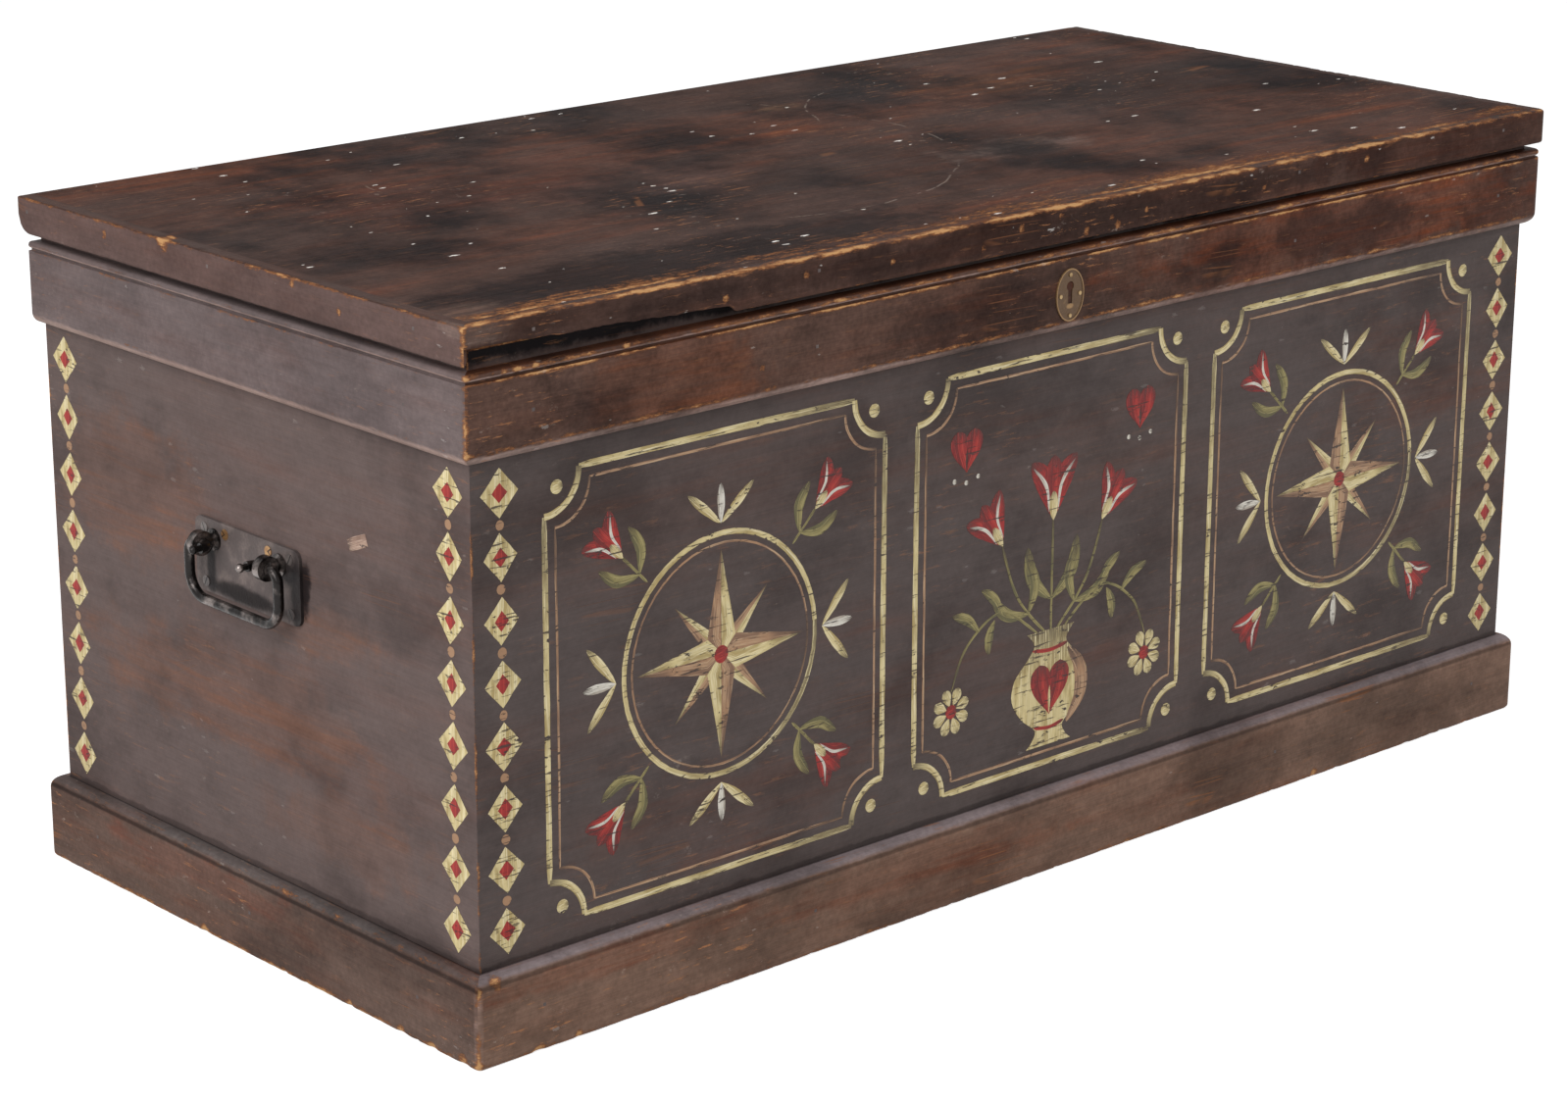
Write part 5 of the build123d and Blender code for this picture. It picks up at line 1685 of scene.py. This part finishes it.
# %% Grow the chains
CHAIN_IN = 24.0          # from the corner of the box to the middle of the chain
CHAIN_COUNT = 8
CHAIN_LOW, CHAIN_TOP = 90.0, 398.0
CHAIN_THICK, CHAIN_SUNK = 0.3, 0.04
LOZENGE, BEAD_DOT = (15, 17.5), 3.6
HAND = 0.0014            # how far an unsteady hand strays, in metres
chain, chain_inputs = chain_tree()
chain_pitch = (CHAIN_TOP - CHAIN_LOW) / (CHAIN_COUNT - 1)
for face, turn in (("front", 0.0), ("left", -math.pi / 2), ("right", math.pi / 2)):
    reach = (RIM_X if face == "front" else RIM_Y) - CHAIN_IN
    axis = 0 if face == "front" else 1
    wobble = (HAND, 0.0, HAND) if axis == 0 else (0.0, HAND, HAND)
    for end, along in (("near", -reach), ("far", reach)):
        piece = harvest(
            f"{face}_{end}_chain",
            chain,
            chain_inputs,
            {
                "Count": CHAIN_COUNT,
                "Pitch": chain_pitch * MM,
                "Half Width": LOZENGE[0] * MM,
                "Half Height": LOZENGE[1] * MM,
                "Bead Radius": BEAD_DOT * MM,
                "Thickness": CHAIN_THICK * MM,
                "Turn": turn,
                "Place": on_board(face, along, CHAIN_LOW, -CHAIN_SUNK),
                "Wobble": wobble,
                "Lozenge Paint": PAINT_ON["cream", axis],
                "Inner Paint": PAINT_ON["crimson", axis],
                "Bead Paint": PAINT_ON["tan", axis],
            },
            bpy.data.meshes.new(f"{face}_{end}_chain_bed"),
        )
        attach(piece, "chest")

# %% [markdown]
# ## Metal
#
# The handles are forged iron, blackened and a little rusty, bright only where hands have
# rubbed them. The keyhole plate is brass gone brown. The hinges and the lock inside are dull
# steel. Each has fine hammer or roll marks as relief.


# %% Metal finishes
METAL_RELIEF = 0.0003


def slots(tree, place, along, up, rise, turn):
    """Slots of screws that stand so far along from the middle either way, and so far above
    and below a height. All are turned alike, in degrees."""
    _, y, z = split(tree, place)
    aside = minus(tree, size_of(tree, y), along * MM)
    above = minus(tree, size_of(tree, minus(tree, z, up * MM)), rise * MM)
    lean = math.radians(turn)
    off = minus(tree, times(tree, aside, math.sin(lean)), times(tree, above, math.cos(lean)))
    return fade(tree, size_of(tree, off), 0.60 * MM, 0.38 * MM)


def metal_finish(
    name, dark, bright, rough, metal, share=(0.45, 0.7), rubs=None, cuts=None, painted_shadows=(),
    specular=0.5,
):
    """Metal that goes from a dark coat to bright rubbed places. Cuts are screw slots, and painted
    shadows are black patches, by centre and half size."""
    material, tree, shader = new_finish(name, specular)
    place = place_of(tree)
    rubbed = fade(tree, cloud(tree, place, (60.0, 60.0, 60.0), 5.0, 0.6), *share)
    if rubs:
        rubbed = larger(tree, rubbed, rubs(tree, place))
    pits = cloud(tree, place, (420.0, 420.0, 420.0), 3.0, 0.6)
    paint = shade(tree, tint(tree, rubbed, dark, bright), between(tree, pits, 0.75, 1.25))
    for centre, half in painted_shadows:
        black = times(tree, patch(tree, place, centre, half, 0.3), 0.88)
        paint = tint(tree, black, paint, BLACK_DIRT_AND_SHADE)
    shader.inputs["Metallic"].default_value = metal
    height = plus(tree, cloud(tree, place, (130.0, 130.0, 130.0), 2.0), pits)
    if cuts:
        slot = slots(tree, place, *cuts)
        paint = tint(tree, times(tree, slot, 0.85), paint, BLACK_DIRT_AND_SHADE)
        height = minus(tree, height, times(tree, slot, 2.0))
    lay(tree, shader, paint, between(tree, pits, *rough), height, METAL_RELIEF)
    return material


def rim_highlight_and_crescent(tree, place):
    """A painted highlight on the raised rim of the keyhole plate, and the crescent worn by keys
    under the keyhole.
    """
    low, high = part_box("escutcheon")
    middle, half = (low + high) / 2, (high - low) / 2
    factors = (1 / half.x, 0.0, 1 / half.z)
    shift = (-middle.x / half.x, 0.0, -middle.z / half.z)
    away = stretched(tree, place, factors, shift)
    far = length_of(tree, away)
    # Painted highlight: the rim is made bright
    rim = fade(tree, far, 0.93, 0.97)
    worn = patch(tree, place, (0.0, -267.0, 441.6), (4.0, 5.0, 2.2), 0.1)
    return larger(tree, rim, worn)


# %% [markdown]
# Each metal has its own pair of tones, how rough it is, and how much of a metal it still shows
# under its coat. The screws of the handle plates have slots: two brass ones above, set in
# later, and four old steel ones at the corners. The plates carry painted shadows of the bails
# and their eyes, in black.

# %% Put the metals on
# Screw slots: how far along and up, how far above and below that, in millimetres, and the turn
BRASS_CUTS = (26.5, 310.5, 0, 35)
STEEL_CUTS = (52, 290.5, 20, 60)
IRON = metal_finish("forged_iron", colour(34, 31, 30), colour(134, 124, 120), (0.14, 0.32), 0.8)
STEEL = metal_finish("dull_steel", colour(96, 90, 84), colour(150, 146, 140), (0.35, 0.55), 0.9)
BRASS = metal_finish(
    "brown_brass",
    colour(82, 60, 38),
    colour(136, 106, 70),
    (0.34, 0.5),
    0.5,
    (0.56, 0.9),
    rubs=rim_highlight_and_crescent,
)
BRIGHT_BRASS = metal_finish(
    "rubbed_brass", colour(122, 98, 66), colour(172, 146, 106), (0.3, 0.45), 0.8, (0.3, 0.6)
)
BRASS_SCREW = metal_finish(
    "brass_screw", colour(150, 110, 70), colour(186, 150, 104), (0.3, 0.45), 0.7, cuts=BRASS_CUTS
)
STEEL_SCREW = metal_finish(
    "painted_screw", colour(76, 68, 66), colour(120, 112, 108), (0.35, 0.5), 0.4, cuts=STEEL_CUTS
)
# Painted shadow: black where the bail's legs, its lower bar and its eyes cast shade on the plate
PLATE_BAIL_SHADOW = (
    ((0, 45, 284), (2000, 7, 24)),
    ((0, 2, 270), (2000, 60, 8)),
    ((0, -60, 284), (2000, 9, 40)),
    ((0, 48, 300), (2000, 14, 11)),
    ((0, -48, 300), (2000, 14, 11)),
)
PLATE = metal_finish(
    "painted_iron",
    colour(88, 79, 77),
    colour(112, 100, 96),
    (0.42, 0.6),
    0.1,
    painted_shadows=PLATE_BAIL_SHADOW,
    specular=0.12,
)
for node in NODES:
    if "handle_plate" in node or "nails" in node:
        dress(node, PLATE)
    elif "bail" in node or "eye" in node:
        dress(node, IRON)
    elif "brass" in node:
        dress(node, BRASS_SCREW)
    elif "steel_screws" in node:
        dress(node, STEEL_SCREW)
    elif node == "escutcheon_pins":
        dress(node, BRIGHT_BRASS)
    elif node == "escutcheon":
        dress(node, BRASS)
    elif "screws" in node or "hinge" in node or "lock" in node or "link" in node:
        dress(node, STEEL)
